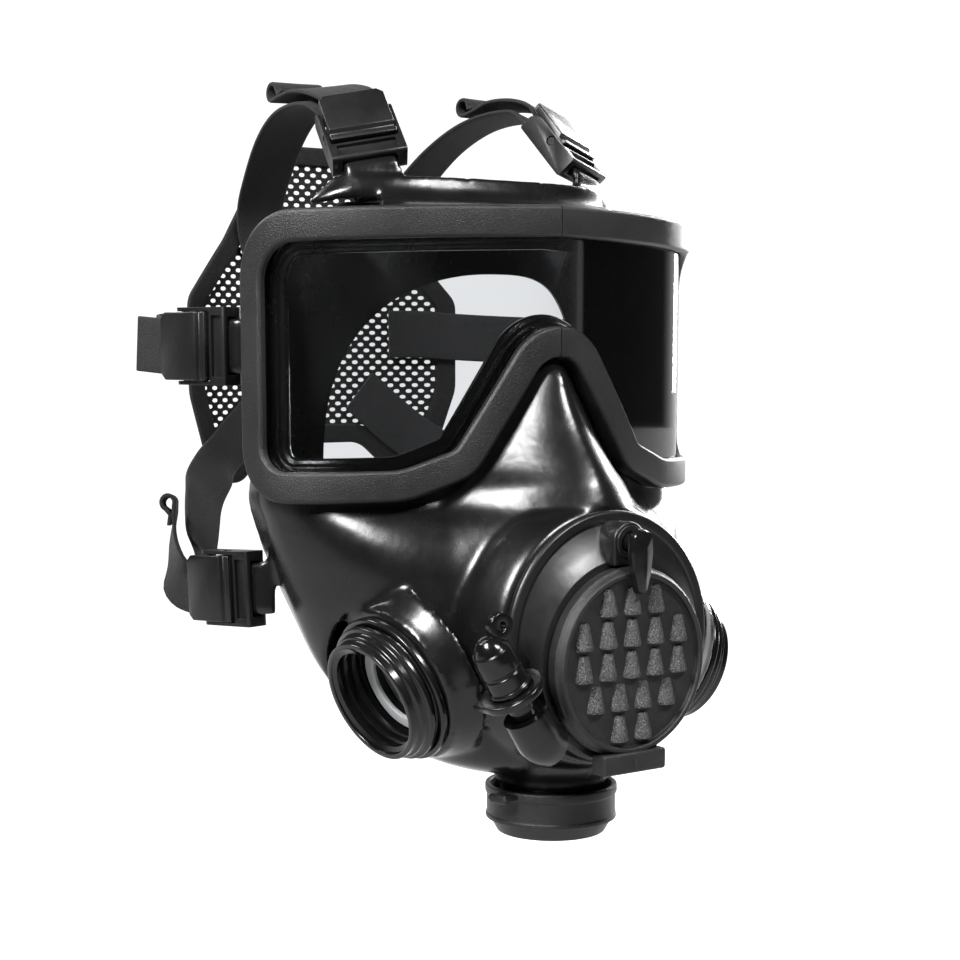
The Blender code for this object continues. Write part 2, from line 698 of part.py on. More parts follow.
def build_ports():
    low, high = -PORT_LENGTH + GAP, -PORT_LENGTH + GAP + SEAT_THICKNESS
    seat = [(SEAT_BORE, low), (SEAT_OUTER, low), (SEAT_OUTER, high), (SEAT_BORE, high)]
    front = PORT_BACK - GAP
    back = front - VALVE_DISC_THICKNESS
    disc = [(0, back), (VALVE_DISC_RADIUS, back), (VALVE_DISC_RADIUS, front), (0, front)]
    grip = CLAMP_RADIUS - NECK_STEP + GAP
    clamp = [(grip, CLAMP_BACK), (CLAMP_RADIUS, CLAMP_BACK), (CLAMP_RADIUS, CLAMP_FRONT), (grip,
                                                            CLAMP_FRONT)]
    for name, place, axis in ports():
        scale = port_scale(name)
        turned(f"port_insert_{name}", widened(port_insert_profile(), scale), place, axis, "gloss_plastic",
               steps=16)
        turned(f"port_seat_ring_{name}", widened(seat, scale), place, axis, "silicone", steps=20)
        turned(f"inhale_valve_{name}", widened(disc, scale), place, axis, "silicone", steps=20)
        if name != "chin":
            turned(f"port_clamp_{name}", clamp, place, axis, "gloss_plastic", steps=20)
    build_chin_cap()


def build_chin_cap():
    """A push-on cap: its skirt covers the chin port's ring."""
    inner = PORT_FLANGE_RADIUS * CHIN_SCALE + GAP
    outer = inner + CAP_WALL
    rim = outer + 0.5
    across, along = CAP_CHAMFER
    cap = turned("chin_cap", [(0, GAP), (inner, GAP), (inner, CAP_TOP), (rim, CAP_TOP), (rim,
                                                            CAP_TOP + 3.0),
                              (outer, CAP_TOP + 3.6), (outer, CAP_BOTTOM - along),
                              (outer - across, CAP_BOTTOM), (0, CAP_BOTTOM)],
                 CHIN_PORT, CHIN_PORT_AXIS, "cover_rubber", steps=24)
    place = Matrix.Translation((CHIN_PORT - Vector((0, 0, CAP_TOP))) * MM)
    tab = box("chin_cap_tab", (-outer - 6.5, -4.5, -3.4), (-outer + 1.0, 4.5, 0.0),
              place @ Matrix.Rotation(math.radians(12), 4, "Z"), cutter=True)
    join(cap, tab)


# ==== exhalation module =============================================================================
def circle(radius, y, z, count=28):
    return [Vector((radius * math.cos(a), y, z + radius * math.sin(a)))
            for a in (2 * math.pi * i / count for i in range(count))]


def build_module():
    back = MODULE_FRONT + MODULE_WALL
    housing = loft("module_housing", [circle(MODULE_RADIUS, back, MODULE_Z), circle(MODULE_RADIUS + 0.3,
                                                            MODULE_FRONT + 1, MODULE_Z),
                                      circle(MODULE_RADIUS - 1.5, MODULE_FRONT,
                                             MODULE_Z), circle(MODULE_RADIUS - 3, MODULE_FRONT, MODULE_Z),
                                      circle(COVER_RADIUS + 4.2, MODULE_FRONT - 3.5,
                                              COVER_Z + 2), circle(COVER_RADIUS + 2.4, COVER_BACK + GAP,
                                                            COVER_Z),
                                      circle(COVER_RADIUS - 3, COVER_BACK + GAP, COVER_Z)], "frame_plastic")
    fit = BORE_RADIUS - 2 * GAP
    spigot = turned("module_spigot", [(0, -SPIGOT_BACK), (fit, -SPIGOT_BACK), (fit, -MODULE_FRONT - 1),
                                      (0, -MODULE_FRONT - 1)],
                    (0, 0, MODULE_Z), FORWARD, steps=28, cutter=True)
    join(housing, spigot)
    foot = COVER_Z + COVER_RADIUS + GAP - SPINDLE_Z
    boss = prism("spindle_boss", arc((0, 0), 7.0, 0, 180, 7) + [(-7.0, foot), (7.0, foot)], 6.0,
                 Matrix.Translation(Vector((0, -89.5,
                                            SPINDLE_Z)) * MM) @ Matrix.Rotation(math.radians(90), 4, "Z"),
                 cutter=True)
    join(housing, boss)
    chamber = turned("module_chamber", [(0, 60), (EXHALE_RADIUS + 9, 60), (EXHALE_RADIUS + 9, 85.5),
                                        (0, 85.5)], (0, 0, COVER_Z), FORWARD, steps=32, cutter=True)
    cut(housing, chamber)
    outlet = turned("module_outlet", [(0, 50), (EXHALE_RADIUS + 4.5, 50), (EXHALE_RADIUS + 4.5, 100), (0,
                                                            100)],
                    (0, 0, COVER_Z), FORWARD, steps=32, cutter=True)
    cut(housing, outlet)
    hole = turned("spindle_hole", [(0, 40), (SPINDLE_RADIUS + GAP, 40), (SPINDLE_RADIUS + GAP, 120), (0,
                                                            120)],
                  (0, 0, SPINDLE_Z), FORWARD, steps=20, cutter=True)
    cut(housing, hole)
    build_exhale_valve()
    build_cover()
    build_drink_lever()


def build_exhale_valve():
    outer = EXHALE_RADIUS + 4.5 - GAP
    seat = turned("exhale_valve_seat", [(16.5, 86.5), (outer, 86.5), (outer, 89.5), (19.0, 89.5), (18.0,
                                                            90.3), (16.5, 90.3)],
                  (0, 0, COVER_Z), FORWARD, "gloss_plastic", steps=32)
    for turn in (0, 90):
        spoke = box(f"seat_spoke_{turn}", (-17.2, -88.6, -1.3), (17.2, -86.9, 1.3),
                    Matrix.Translation(Vector((0, 0,
                            COVER_Z)) * MM) @ Matrix.Rotation(math.radians(turn + 45), 4, "Y"),
                    cutter=True)
        join(seat, spoke)
    front = 90.3 + GAP
    turned("exhale_valve_disc", [(0, front), (EXHALE_RADIUS, front), (EXHALE_RADIUS, front + 0.9), (0,
                                                            front + 1.2)],
           (0, 0, COVER_Z), FORWARD, "silicone", steps=28)


def stud_places():
    for row, columns in enumerate(STUD_ROWS):
        for column in columns:
            yield column * STUD_PITCH[0], (2 - row) * STUD_PITCH[1] + STUD_LIFT


def build_cover():
    front, back = -COVER_FRONT, -COVER_BACK
    plate = front - 2.0
    cover = turned("front_cover", [(0, plate - COVER_PLATE), (COVER_LIP_RADIUS - 0.5, plate - COVER_PLATE),
                                   (COVER_RADIUS - 2.4, back + 1.2), (COVER_RADIUS - 2.4,
                                                            back), (COVER_RADIUS, back),
                                   (COVER_RADIUS, front - 2.6), (COVER_LIP_RADIUS + 1.8,
                                                            front), (COVER_LIP_RADIUS + 0.6, front),
                                   (COVER_LIP_RADIUS, plate), (0, plate)],
                   (0, 0, COVER_Z), FORWARD, "cover_rubber", steps=28)
    for index, (x, z) in enumerate(stud_places()):
        rings = []
        for height, radius in ((-STUD_HEIGHT / 2, STUD_RADIUS), (STUD_HEIGHT / 2,
                                                            STUD_RADIUS * STUD_TAPER)):
            rings.append([Vector((x + radius * math.cos(a),
                                  -plate + STUD_SINK - STUD_DEPTH * radius * math.sin(a),
                                  COVER_Z + z + height))
                          for a in (math.pi * i / 3 for i in range(4))])
        join(cover, loft(f"stud_{index}", rings, cutter=True))
    lip = box("cover_tab", (-14, COVER_FRONT - 1.0, -38.5), (14, COVER_BACK, -31.0),
              Matrix.Translation(Vector((0, 0, COVER_Z)) * MM), cutter=True)
    join(cover, lip)


def build_drink_lever():
    front = -SPINDLE_FRONT
    place = (0, 0, SPINDLE_Z)
    turned("drink_spindle", [(0, 61), (SPINDLE_RADIUS, 61), (SPINDLE_RADIUS, front - LEVER_THICKNESS - 1),
                             (SPINDLE_RADIUS - 0.8, front - LEVER_THICKNESS),
                             (0, front - LEVER_THICKNESS)], place, FORWARD, "gloss_plastic", steps=20)
    half = LEVER_WIDTH / 2
    outline = [(-half, -2), (-half + 0.8, half - 1.6), (-half + 3, half), (half - 3, half), (half - 0.8,
                                                            half - 1.6), (half, -2),
               (half - 0.9, -LEVER_LENGTH * 0.45), (1.9, -LEVER_LENGTH + half), (-1.9,
                       -LEVER_LENGTH + half), (-half + 0.9, -LEVER_LENGTH * 0.45)]
    rings = []
    for depth, scale in ((GAP, 0.9), (1.2, 1.0), (3.6, 0.86), (LEVER_THICKNESS, 0.25)):
        y = -(front - LEVER_THICKNESS) - depth
        rings.append([Vector((x * scale, y, SPINDLE_Z + z)) for x, z in outline])
    loft("drink_lever", rings, "gloss_plastic", origin=(0, SPINDLE_FRONT, SPINDLE_Z))
    elbow = smooth_curve([(0, -60.5, SPINDLE_Z), (0, -56, SPINDLE_Z), (4, -51.5, SPINDLE_Z), (10, -50,
                                                            SPINDLE_Z), (15, -50, SPINDLE_Z)], 2)
    tube("drink_mouthpiece", elbow, 3.0, "rubber", origin=(0, -60.5, SPINDLE_Z))


def tube(name, points, radius, material, origin):
    """A round rod along points, as rings square to it."""
    rings = []
    up = Vector((0, 0, 1))
    for i, here in enumerate(points):
        along = (points[min(i + 1, len(points) - 1)] - points[max(i - 1, 0)]).normalized()
        across = along.cross(up).normalized()
        rise = across.cross(along)
        rings.append([here + across * radius * math.cos(a) + rise * radius * math.sin(a)
                      for a in (2 * math.pi * k / 8 for k in range(8))])
    return loft(name, rings, material, origin=origin)


# ==== drinking coupling =============================================================================
def build_coupling():
    place, axis, radius = COUPLING_TOP, COUPLING_AXIS, COUPLING_RADIUS
    cap = turned("coupling_cap", [(0, 0), (2.6, 0.3), (5.2, 3.2), (radius, 8.5), (radius, 18.5),
                                  (radius + 0.8, 19.2),
                                  (radius + 0.8, 20.5), (5.2, 20.5), (5.2, 9.5), (0,
                                                            9.5)], place, axis, "gloss_plastic", steps=16)
    lug = turned("coupling_lug", [(0, -1.7), (4.8, -1.7), (4.8, 1.7), (0, 1.7)],
                 place + Vector((6.8, 0.5, 3.6)), FORWARD, steps=16, cutter=True)
    arm = box("coupling_lug_arm", (-3.0, -1.5, -8.0), (3.0, 1.5, 1.0),
              Matrix.Translation((place + Vector((5.2, 0.5,
                      1.0))) * MM) @ Matrix.Rotation(math.radians(-35), 4, "Y"), cutter=True)
    join(cap, lug)
    join(cap, arm)
    cut(cap, turned("lug_hole", [(0, -9), (1.7, -9), (1.7, 9), (0, 9)], place + Vector((6.8, 0.5, 3.6)),
                    FORWARD, steps=12, cutter=True))
    turned("coupling_body", [(0, 10.2), (4.7, 10.2), (4.7, 31.6), (0, 31.6)], place, axis,
           "gloss_plastic", steps=20)
    holder = turned("coupling_holder", [(4.7 + GAP, 20.9), (11.4, 20.9), (11.4, 23.6), (4.7 + GAP, 23.6)],
                    place, axis,
                    "gloss_plastic", steps=24)
    middle = place + axis * 22.25
    bracket = box("holder_bracket", (7.0, -1.2, -1.2), (11.3, 9.0, 1.2), axis_matrix(middle, axis),
                  cutter=True)
    join(holder, bracket)
    bottom = place + axis * 32.0
    bend = [bottom, place + axis * 38.0, place + axis * 43.5 + Vector((0.6, 0.6, 0)),
            place + axis * 47.0 + Vector((3.2, 2.0, 0.8))]
    sleeve_path = smooth_curve(bend, 2)
    hose = tube("drink_hose", sleeve_path, 8.0, "rubber", origin=tuple(bottom))
    room = loft("coupling_room", [circle(COVER_RADIUS + GAP + 2.2, COVER_BACK - 14, COVER_Z),
                                  circle(COVER_RADIUS + GAP + 2.2, COVER_BACK + 0.6, COVER_Z),
                              circle(MODULE_RADIUS + 1.2, MODULE_FRONT - 0.2,
                                      MODULE_Z), circle(MODULE_RADIUS + 1.2, MODULE_FRONT + 12,
                                                        MODULE_Z)], cutter=True)
    cut(holder, room)
    cut(hose, room)


# ==== nose cup ======================================================================================
def build_nose_cup():
    """The inner cup: from the module's spigot back to an egg-shaped edge round the nose and mouth."""
    count = 22
    edge_top, edge_low, edge_half = 57.0, -66.0, 37.0
    rings = []
    sleeve = BORE_RADIUS - 2 * GAP
    rings.append(circle(sleeve, SPIGOT_BACK + GAP, MODULE_Z, count))
    for share in (0.0, 0.5, 1.0):
        ring = []
        for i in range(count):
            a = 2 * math.pi * i / count
            c, s = math.cos(a), math.sin(a)
            start = Vector((sleeve * c, SLEEVE_BACK, MODULE_Z + sleeve * s))
            if s > 0:
                end = Vector((edge_half * c * (1 - 0.42 * s), -24, -14 + (edge_top + 14) * s ** 1.15))
            else:
                end = Vector((edge_half * c, -24 - 6 * s * s, -14 + (-14 - edge_low) * s))
            point = start.lerp(end, share)
            bulge = math.sin(math.pi * share)
            point += Vector((2 * c * bulge, -2 * bulge, 0))
            ring.append(point)
        rings.append(ring)
    inner = []
    for ring in rings[::-1]:
        middle = sum(ring, Vector()) / count
        inner.append([p + (Vector((middle.x, p.y,
                                   middle.z)) - p).normalized() * NOSE_CUP_WALL for p in ring])
    cup = loft("nose_cup", rings + inner, "rubber", loop=True)
    for name, side in SIDES:
        place, axis = cup_valve(side)
        seat = turned(f"cup_seat_{name}", [(0, -5), (9.5, -5), (9.5, 1.5), (0, 1.5)], place, axis,
                      steps=24, cutter=True)
        join(cup, seat)
        cut(cup, turned(f"cup_hole_{name}", [(0, -12), (6.5, -12), (6.5, 8), (0, 8)], place, axis,
                        steps=20, cutter=True))
        turned(f"cup_valve_{name}", [(0, -5 - GAP - 0.8), (8.6, -5 - GAP - 0.8), (8.6, -5 - GAP), (0,
                                                            -5 - GAP)], place, axis, "silicone", steps=20)


def cup_valve(side):
    return Vector((side * 33.5, -46, -10)), Vector((side * 0.85, -0.42, 0.30)).normalized()


# ==== harness =======================================================================================
def build_buckle(name, place, along, normal):
    frame = buckle_matrix(place, along, normal)
    inner = BUCKLE_HALF - RAIL_WALL
    body = box(f"buckle_{name}", (-BUCKLE_HALF, 0, -4.6), (BUCKLE_HALF, BUCKLE_LENGTH, 4.2), frame,
               "buckle_nylon")
    cut(body, box(f"buckle_window_{name}", (-inner, 7.6, -9), (inner, BUCKLE_LENGTH + 5, 9), frame,
                  cutter=True))
    pocket = TAB_HALF + GAP
    cut(body, box(f"buckle_pocket_{name}", (-pocket, -4, -TAB_THICKNESS / 2 - GAP), (pocket,
                                                            TAB_IN_BUCKLE + GAP, TAB_THICKNESS / 2 + GAP),
                  frame, cutter=True))
    middle = (STRAP_IN + STRAP_OUT) / 2
    bar = box(f"buckle_bar_{name}", (-BUCKLE_HALF + 0.4, BAR_ALONG - BAR_SIZE / 2, middle - BAR_SIZE / 2),
              (BUCKLE_HALF - 0.4, BAR_ALONG + BAR_SIZE / 2, middle + BAR_SIZE / 2), frame, cutter=True)
    join(body, bar)
    pivot = frame @ Matrix.Translation(Vector((0, PIVOT[0], PIVOT[1])) * MM)
    sideways = pivot @ Matrix.Rotation(math.radians(90), 4, "Y")
    bore = turned(f"pin_bore_{name}", [(0, -20), (1.5 + GAP, -20), (1.5 + GAP, 20), (0, 20)], (0, 0, 0),
                  (0, 0, 1), steps=12, cutter=True)
    bore.matrix_world = sideways
    cut(body, bore)
    low, high = LEVER_PLATE[0] - PIVOT[1], LEVER_PLATE[1] - PIVOT[1]
    heel = arc((0, 0), HEEL_RADIUS, 100, 330, 7)
    end = LEVER_END - PIVOT[0]
    outline = heel + [(4.2, low), (end - 0.5, low), (end, low + 0.8), (end, high - 0.5), (end - 0.8,
                                                            high), (0.4, high)]
    lever = prism(f"lever_{name}", outline[::-1], inner - GAP, pivot, "buckle_nylon")
    pin = turned(f"lever_pin_{name}", [(0, -BUCKLE_HALF + 0.3), (1.5, -BUCKLE_HALF + 0.3), (1.5,
                                                            BUCKLE_HALF - 0.3), (0, BUCKLE_HALF - 0.3)],
                 (0, 0, 0), (0, 0, 1), steps=12, cutter=True)
    pin.matrix_world = sideways
    join(lever, pin)


def ribbon(name, stations, material="webbing"):
    """A strap through stations of (middle, across, thickness)."""
    rings = []
    for i, (here, across, thick) in enumerate(stations):
        along = (stations[min(i + 1, len(stations) - 1)][0] - stations[max(i - 1, 0)][0]).normalized()
        wide = (across - along * across.dot(along)).normalized()
        up = wide.cross(along) * (thick / 2)
        half = wide * (STRAP_WIDTH / 2)
        rings.append([here - half - up, here + half - up, here + half + up, here - half + up])
    return loft(name, rings, material)


def on_pad(x, z, out):
    """A point of the head pad, so far in front of its middle surface."""
    return Vector((x, PAD_Y - PAD_SAG * (x / PAD_HALF_WIDTH) ** 2 - out, z))


def strap_routes(side):
    """Where each strap starts on the pad, how it runs to its buckle, and how its free end lies."""
    def v(x, y, z):
        return Vector((side * x, y, z))

    def pad(x, z):
        return on_pad(side * x, z, ON_PAD)

    def level(x):
        return v(1, -2 * PAD_SAG * x / PAD_HALF_WIDTH ** 2, 0)

    def slant(x):
        return level(x) * 0.62 + upright * 0.78

    upright = Vector((0, 0, 1))
    top = [(pad(25, 92), level(25)), (pad(28, 103), level(28)), (v(32, 99, 116), v(1, 0.05, 0)),
           (v(35, 88, 127), v(1, 0.1, 0)), (v(38.5, 72, 139.5), v(1, 0.15, 0)),
           (v(41.5, 55, 147.5), v(0.98, 0.2, -0.05)), (v(43.5, 38, 150.5), v(0.96, 0.25, -0.1)),
           (v(44.5, 23, 149.5), v(0.93, 0.3, -0.15))]
    top_tail = [(v(44.5, 24, 156.5), v(0.93, 0.3, -0.15)), (v(44, 36, 158), v(0.96, 0.25, -0.1)),
                (v(43.5, 47, 156.5), v(0.98, 0.15, 0))]
    temple = [(pad(34, 66), upright), (pad(48, 66), upright), (pad(61, 65), upright),
              (v(77, 89, 64), upright), (v(92, 72, 63), upright), (v(100, 54, 62), upright)]
    temple_tail = [(v(107, 41, 61.5), upright), (v(109, 47, 61.5), upright)]
    lower = [(pad(20, 42), slant(20)), (pad(33, 31), slant(33)), (pad(43, 23), slant(43)),
             (v(51, 99, 17), slant(51)), (v(58, 94, 11.5), v(0.66, 0.15, 0.72)),
             (v(66.5, 86, 5), v(0.55, 0.3, 0.78)), (v(73.5, 75, -2), v(0.4, 0.35, 0.85)),
             (v(80.5, 63.5, -11), v(0.3, 0.3, 0.9)), (v(88.3, 51, -22), v(0.06, 0.06, 0.99))]
    lower_tail = [(v(99.5, 47.5, -25.5), upright), (v(101.5, 52, -14), v(0.3, -0.8, 0.5)),
                  (v(101, 52, -4), v(0.5, -0.85, 0.1))]
    return {"top": (top, top_tail), "temple": (temple, temple_tail), "lower": (lower, lower_tail)}


def smooth_stations(places):
    middles = smooth_curve([p for p, _ in places], 2)
    sides = smooth_curve([s for _, s in places], 2)
    return list(zip(middles, sides))


def build_harness():
    for name, place, along, normal in buckle_frames():
        build_buckle(name, place, along, normal)
    for side_name, side in SIDES:
        routes = strap_routes(side)
        for name, place, along, normal in buckle_frames():
            kind, _, which = name.partition("_")
            if which != side_name:
                continue
            frame = buckle_matrix(place, along, normal)
            turn = frame.to_3x3()
            x, y, z = (turn.col[i] for i in range(3))
            main, tail = routes[kind]
            across = x if x.dot(main[-1][1]) > 0 else -x
            enter = place + y * (BUCKLE_LENGTH + 1) + z * STRAP_IN
            leave = place + y * (BUCKLE_LENGTH + 1) + z * STRAP_OUT
            stations = [(p, s, STRAP_THICKNESS) for p, s in smooth_stations(main + [(enter, across)])]
            radius = (STRAP_OUT - STRAP_IN) / 2
            centre = place + y * (BAR_ALONG - 0.4) + z * ((STRAP_IN + STRAP_OUT) / 2)
            for angle in (-90, -126, -162, -198, -234, -270):
                a = math.radians(angle)
                stations.append((centre + y * radius * math.cos(a) + z * radius * math.sin(a), across,
                                 STRAP_THICKNESS))
            clear = place + y * (LEVER_END + 2.5) + z * (STRAP_OUT + 0.3)
            free = smooth_stations([(leave, across), (clear, across)] + [(p,
                    s if s.dot(across) > 0 else -s) for p, s in tail])
            stations += [(p, s, STRAP_THICKNESS) for p, s in free]
            end, before = stations[-1][0], stations[-2][0]
            step = (end - before).normalized()
            stations.append((end + step * 1.5, free[-1][1], 4.6))
            stations.append((end + step * 6.5, free[-1][1], 4.6))
            ribbon(f"strap_{name}", stations)


def pad_outline():
    """Half the pad's outline, from the top middle to the bottom middle."""
    corners = [(0.0, 143.0), (20.0, 143.0, 9.0), (45.0, 104.0, 25.0), (PAD_HALF_WIDTH, 80.0, 10.0),
               (PAD_HALF_WIDTH, 42.0, 20.0),
               (53.0, 5.0, 9.0), (38.0, 5.0, 9.0), (22.0, 20.0, 12.0), (0.0, 20.0)]
    return filleted(corners, arc_step=24, run_step=16, tight_from=200)


def build_pad():
    chain = pad_outline()
    inner = inset(chain, BINDING_WIDTH + 3 * GAP)
    half = PAD_THICKNESS / 2
    strip_solid("head_pad", spans(inner, least=3.0), half, -half, on_pad, "mesh_fabric")
    thick = BINDING_THICKNESS / 2
    profile = [(0, -thick), (0, thick), (BINDING_WIDTH, thick), (BINDING_WIDTH, -thick)]
    sweep_outline("pad_binding", chain, LEFT, profile, on_pad, "webbing", loop=True)


def main():
    start_scene()
    build_visor()
    build_facepiece()
    build_face_seal()
    build_ports()
    build_module()
    build_coupling()
    build_nose_cup()
    build_harness()
    build_pad()


main()
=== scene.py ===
"""Looks of the full face respirator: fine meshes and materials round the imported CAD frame.

Lengths in the modelling code are millimetres in the row frame (+Z up, the visor looks along -Y, +X is the
wearer's left); meshes are made in metres.
"""

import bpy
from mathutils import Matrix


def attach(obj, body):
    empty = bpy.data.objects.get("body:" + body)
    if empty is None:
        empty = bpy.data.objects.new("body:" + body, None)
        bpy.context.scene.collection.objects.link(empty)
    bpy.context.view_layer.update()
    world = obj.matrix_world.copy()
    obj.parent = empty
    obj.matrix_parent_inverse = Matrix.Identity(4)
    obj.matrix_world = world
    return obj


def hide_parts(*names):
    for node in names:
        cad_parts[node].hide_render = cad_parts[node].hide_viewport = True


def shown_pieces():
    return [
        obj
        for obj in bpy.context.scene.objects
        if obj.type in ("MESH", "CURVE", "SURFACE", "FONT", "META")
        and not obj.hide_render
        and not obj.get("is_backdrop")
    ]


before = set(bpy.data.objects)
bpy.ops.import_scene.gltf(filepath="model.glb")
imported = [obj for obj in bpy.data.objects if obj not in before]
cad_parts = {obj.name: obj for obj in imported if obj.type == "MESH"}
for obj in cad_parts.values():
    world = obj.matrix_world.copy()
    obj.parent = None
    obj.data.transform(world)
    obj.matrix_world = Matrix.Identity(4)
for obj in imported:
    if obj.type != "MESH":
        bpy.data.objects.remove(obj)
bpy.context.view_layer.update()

import math

import bmesh
import bpy
import numpy as np
from mathutils import Matrix, Vector

MM = 0.001
SIDES = (("right", -1), ("left", 1))
FORWARD = Vector((0, -1, 0))
UP, DOWN = Vector((0, 0, 1)), Vector((0, 0, -1))

# the sizes of the design, as the CAD model has them
VISOR_HALF_WIDTH, VISOR_DEPTH = 98.5, 57.0
BAND_WIDTH, BAND_THICKNESS, SKIRT_WALL, LENS_THICKNESS, GAP = 11.0, 3.4, 3.0, 2.8, 0.35
FRAME_DEPTH = BAND_THICKNESS + LENS_THICKNESS + 2 * GAP
RUBBER, VOXEL = 3.0, 1.05
THREAD_MAJOR, THREAD_MINOR, THREAD_PITCH = 20.2, 18.6, 25.4 / 7
LIP_RADIUS, FLANGE_RADIUS, CLAMP_RADIUS, NECK_RADIUS, NECK_BORE = 22.3, 25.4, 27.2, 29.0, 21.8
CLAMP_THROAT = CLAMP_RADIUS - 3.0
PORT_LENGTH, PORT_BACK, CHIN_SCALE = 15.5, -19.5, 0.86
CHIN_PORT = Vector((0.0, -52.5, -109.0))
MODULE_Z, MODULE_RADIUS, MODULE_FRONT, MODULE_RIM, BORE_RADIUS = -40.0, 44.5, -86.0, 3.0, 41.0
SPIGOT_BACK, SLEEVE_BACK = -77.0, -57.0
COVER_Z, COVER_RADIUS, COVER_LIP, COVER_BACK, COVER_FRONT = -47.0, 33.2, 29.6, -92.5, -99.0
VALVE_BORE = 23.5
SPINDLE_Z, SPINDLE_FRONT, SPINDLE_RADIUS = -5.5, -104.0, 3.2
MODULE_MIDDLE, COVER_MIDDLE, SPINDLE_MIDDLE = (0, 0, MODULE_Z), (0, 0, COVER_Z), (0, 0, SPINDLE_Z)
COUPLING_TOP = Vector((-60.8, -93.5, -34.0))
COUPLING_AXIS = Vector((0.54, 0.0, -0.842)).normalized()
STRAP_WIDTH, STRAP_THICKNESS = 20.0, 1.5
PAD_Y, PAD_HALF_WIDTH, PAD_SAG = 112.0, 65.0, 12.0
BINDING_WIDTH, BINDING_THICKNESS = 8.0, 3.6


# ==== camera, light and floor =======================================================================
VIEW_AZIMUTH = math.radians(-35.77)
VIEW_ELEVATION = math.radians(8.15)
VIEW_CENTRE, VIEW_DISTANCE = Vector((0, 0, -0.045)), 0.75007
FLOOR_HEIGHT, FLOOR_RADIUS = -0.30, 8.0


def set_camera():
    """The viewing angle: from the wearer's right and a little above."""
    level = math.cos(VIEW_ELEVATION)
    back = Vector((math.sin(VIEW_AZIMUTH) * level, -math.cos(VIEW_AZIMUTH) * level, math.sin(VIEW_ELEVATION)))
    data = bpy.data.cameras.new("camera")
    data.lens = 73.06
    data.sensor_width = 36.0
    data.shift_x, data.shift_y = 0.01315, 0.15024
    data.clip_start, data.clip_end = 0.05, 50
    camera = bpy.data.objects.new("camera", data)
    camera.location = VIEW_CENTRE + back * VIEW_DISTANCE
    camera.rotation_euler = back.to_track_quat("Z", "Y").to_euler()
    bpy.context.scene.collection.objects.link(camera)
    bpy.context.scene.camera = camera


def add_light(name, location, aim, size, power, colour=(1, 1, 1)):
    data = bpy.data.lights.new(name, "AREA")
    data.shape = "RECTANGLE"
    data.size, data.size_y = size
    data.energy = power
    data.color = colour
    lamp = bpy.data.objects.new(name, data)
    lamp.location = location
    lamp.rotation_euler = (Vector(location) - Vector(aim)).to_track_quat("Z", "Y").to_euler()
    bpy.context.scene.collection.objects.link(lamp)


def lit_behind(tree, vector, low, high, dark, bright):
    """A brightness that rises along the viewing direction, from one value of the dot product to another."""
    dot = tree.nodes.new("ShaderNodeVectorMath")
    dot.operation = "DOT_PRODUCT"
    dot.inputs[1].default_value = (-math.sin(VIEW_AZIMUTH), math.cos(VIEW_AZIMUTH), 0)
    spread = tree.nodes.new("ShaderNodeMapRange")
    spread.interpolation_type = "SMOOTHSTEP"
    for key, number in (("From Min", low), ("From Max", high), ("To Min", dark), ("To Max", bright)):
        spread.inputs[key].default_value = number
    tree.links.new(vector, dot.inputs[0])
    tree.links.new(dot.outputs["Value"], spread.inputs["Value"])
    return spread.outputs["Result"]


def set_light():
    world = bpy.data.worlds.new("studio")
    world.use_nodes = True
    tree = world.node_tree
    place = tree.nodes.new("ShaderNodeTexCoord").outputs["Generated"]
    background = tree.nodes["Background"]
    background.inputs["Color"].default_value = (1, 1, 1, 1)
    tree.links.new(lit_behind(tree, place, 0.62, 0.93, 0.06, 1.1), background.inputs["Strength"])
    bpy.context.scene.world = world
    bpy.context.scene.view_settings.view_transform = "Standard"
    aim = (0, 0, 0.0)
    add_light("key", (-0.95, -0.35, 0.85), aim, (0.35, 0.5), 40)
    add_light("fill", (0.25, -1.0, 1.0), aim, (0.5, 0.25), 24)
    add_light("rim", (1.0, 0.45, 0.35), aim, (0.2, 0.7), 12)
    add_light("back", (-0.5, 0.9, 0.9), aim, (0.5, 0.3), 10)


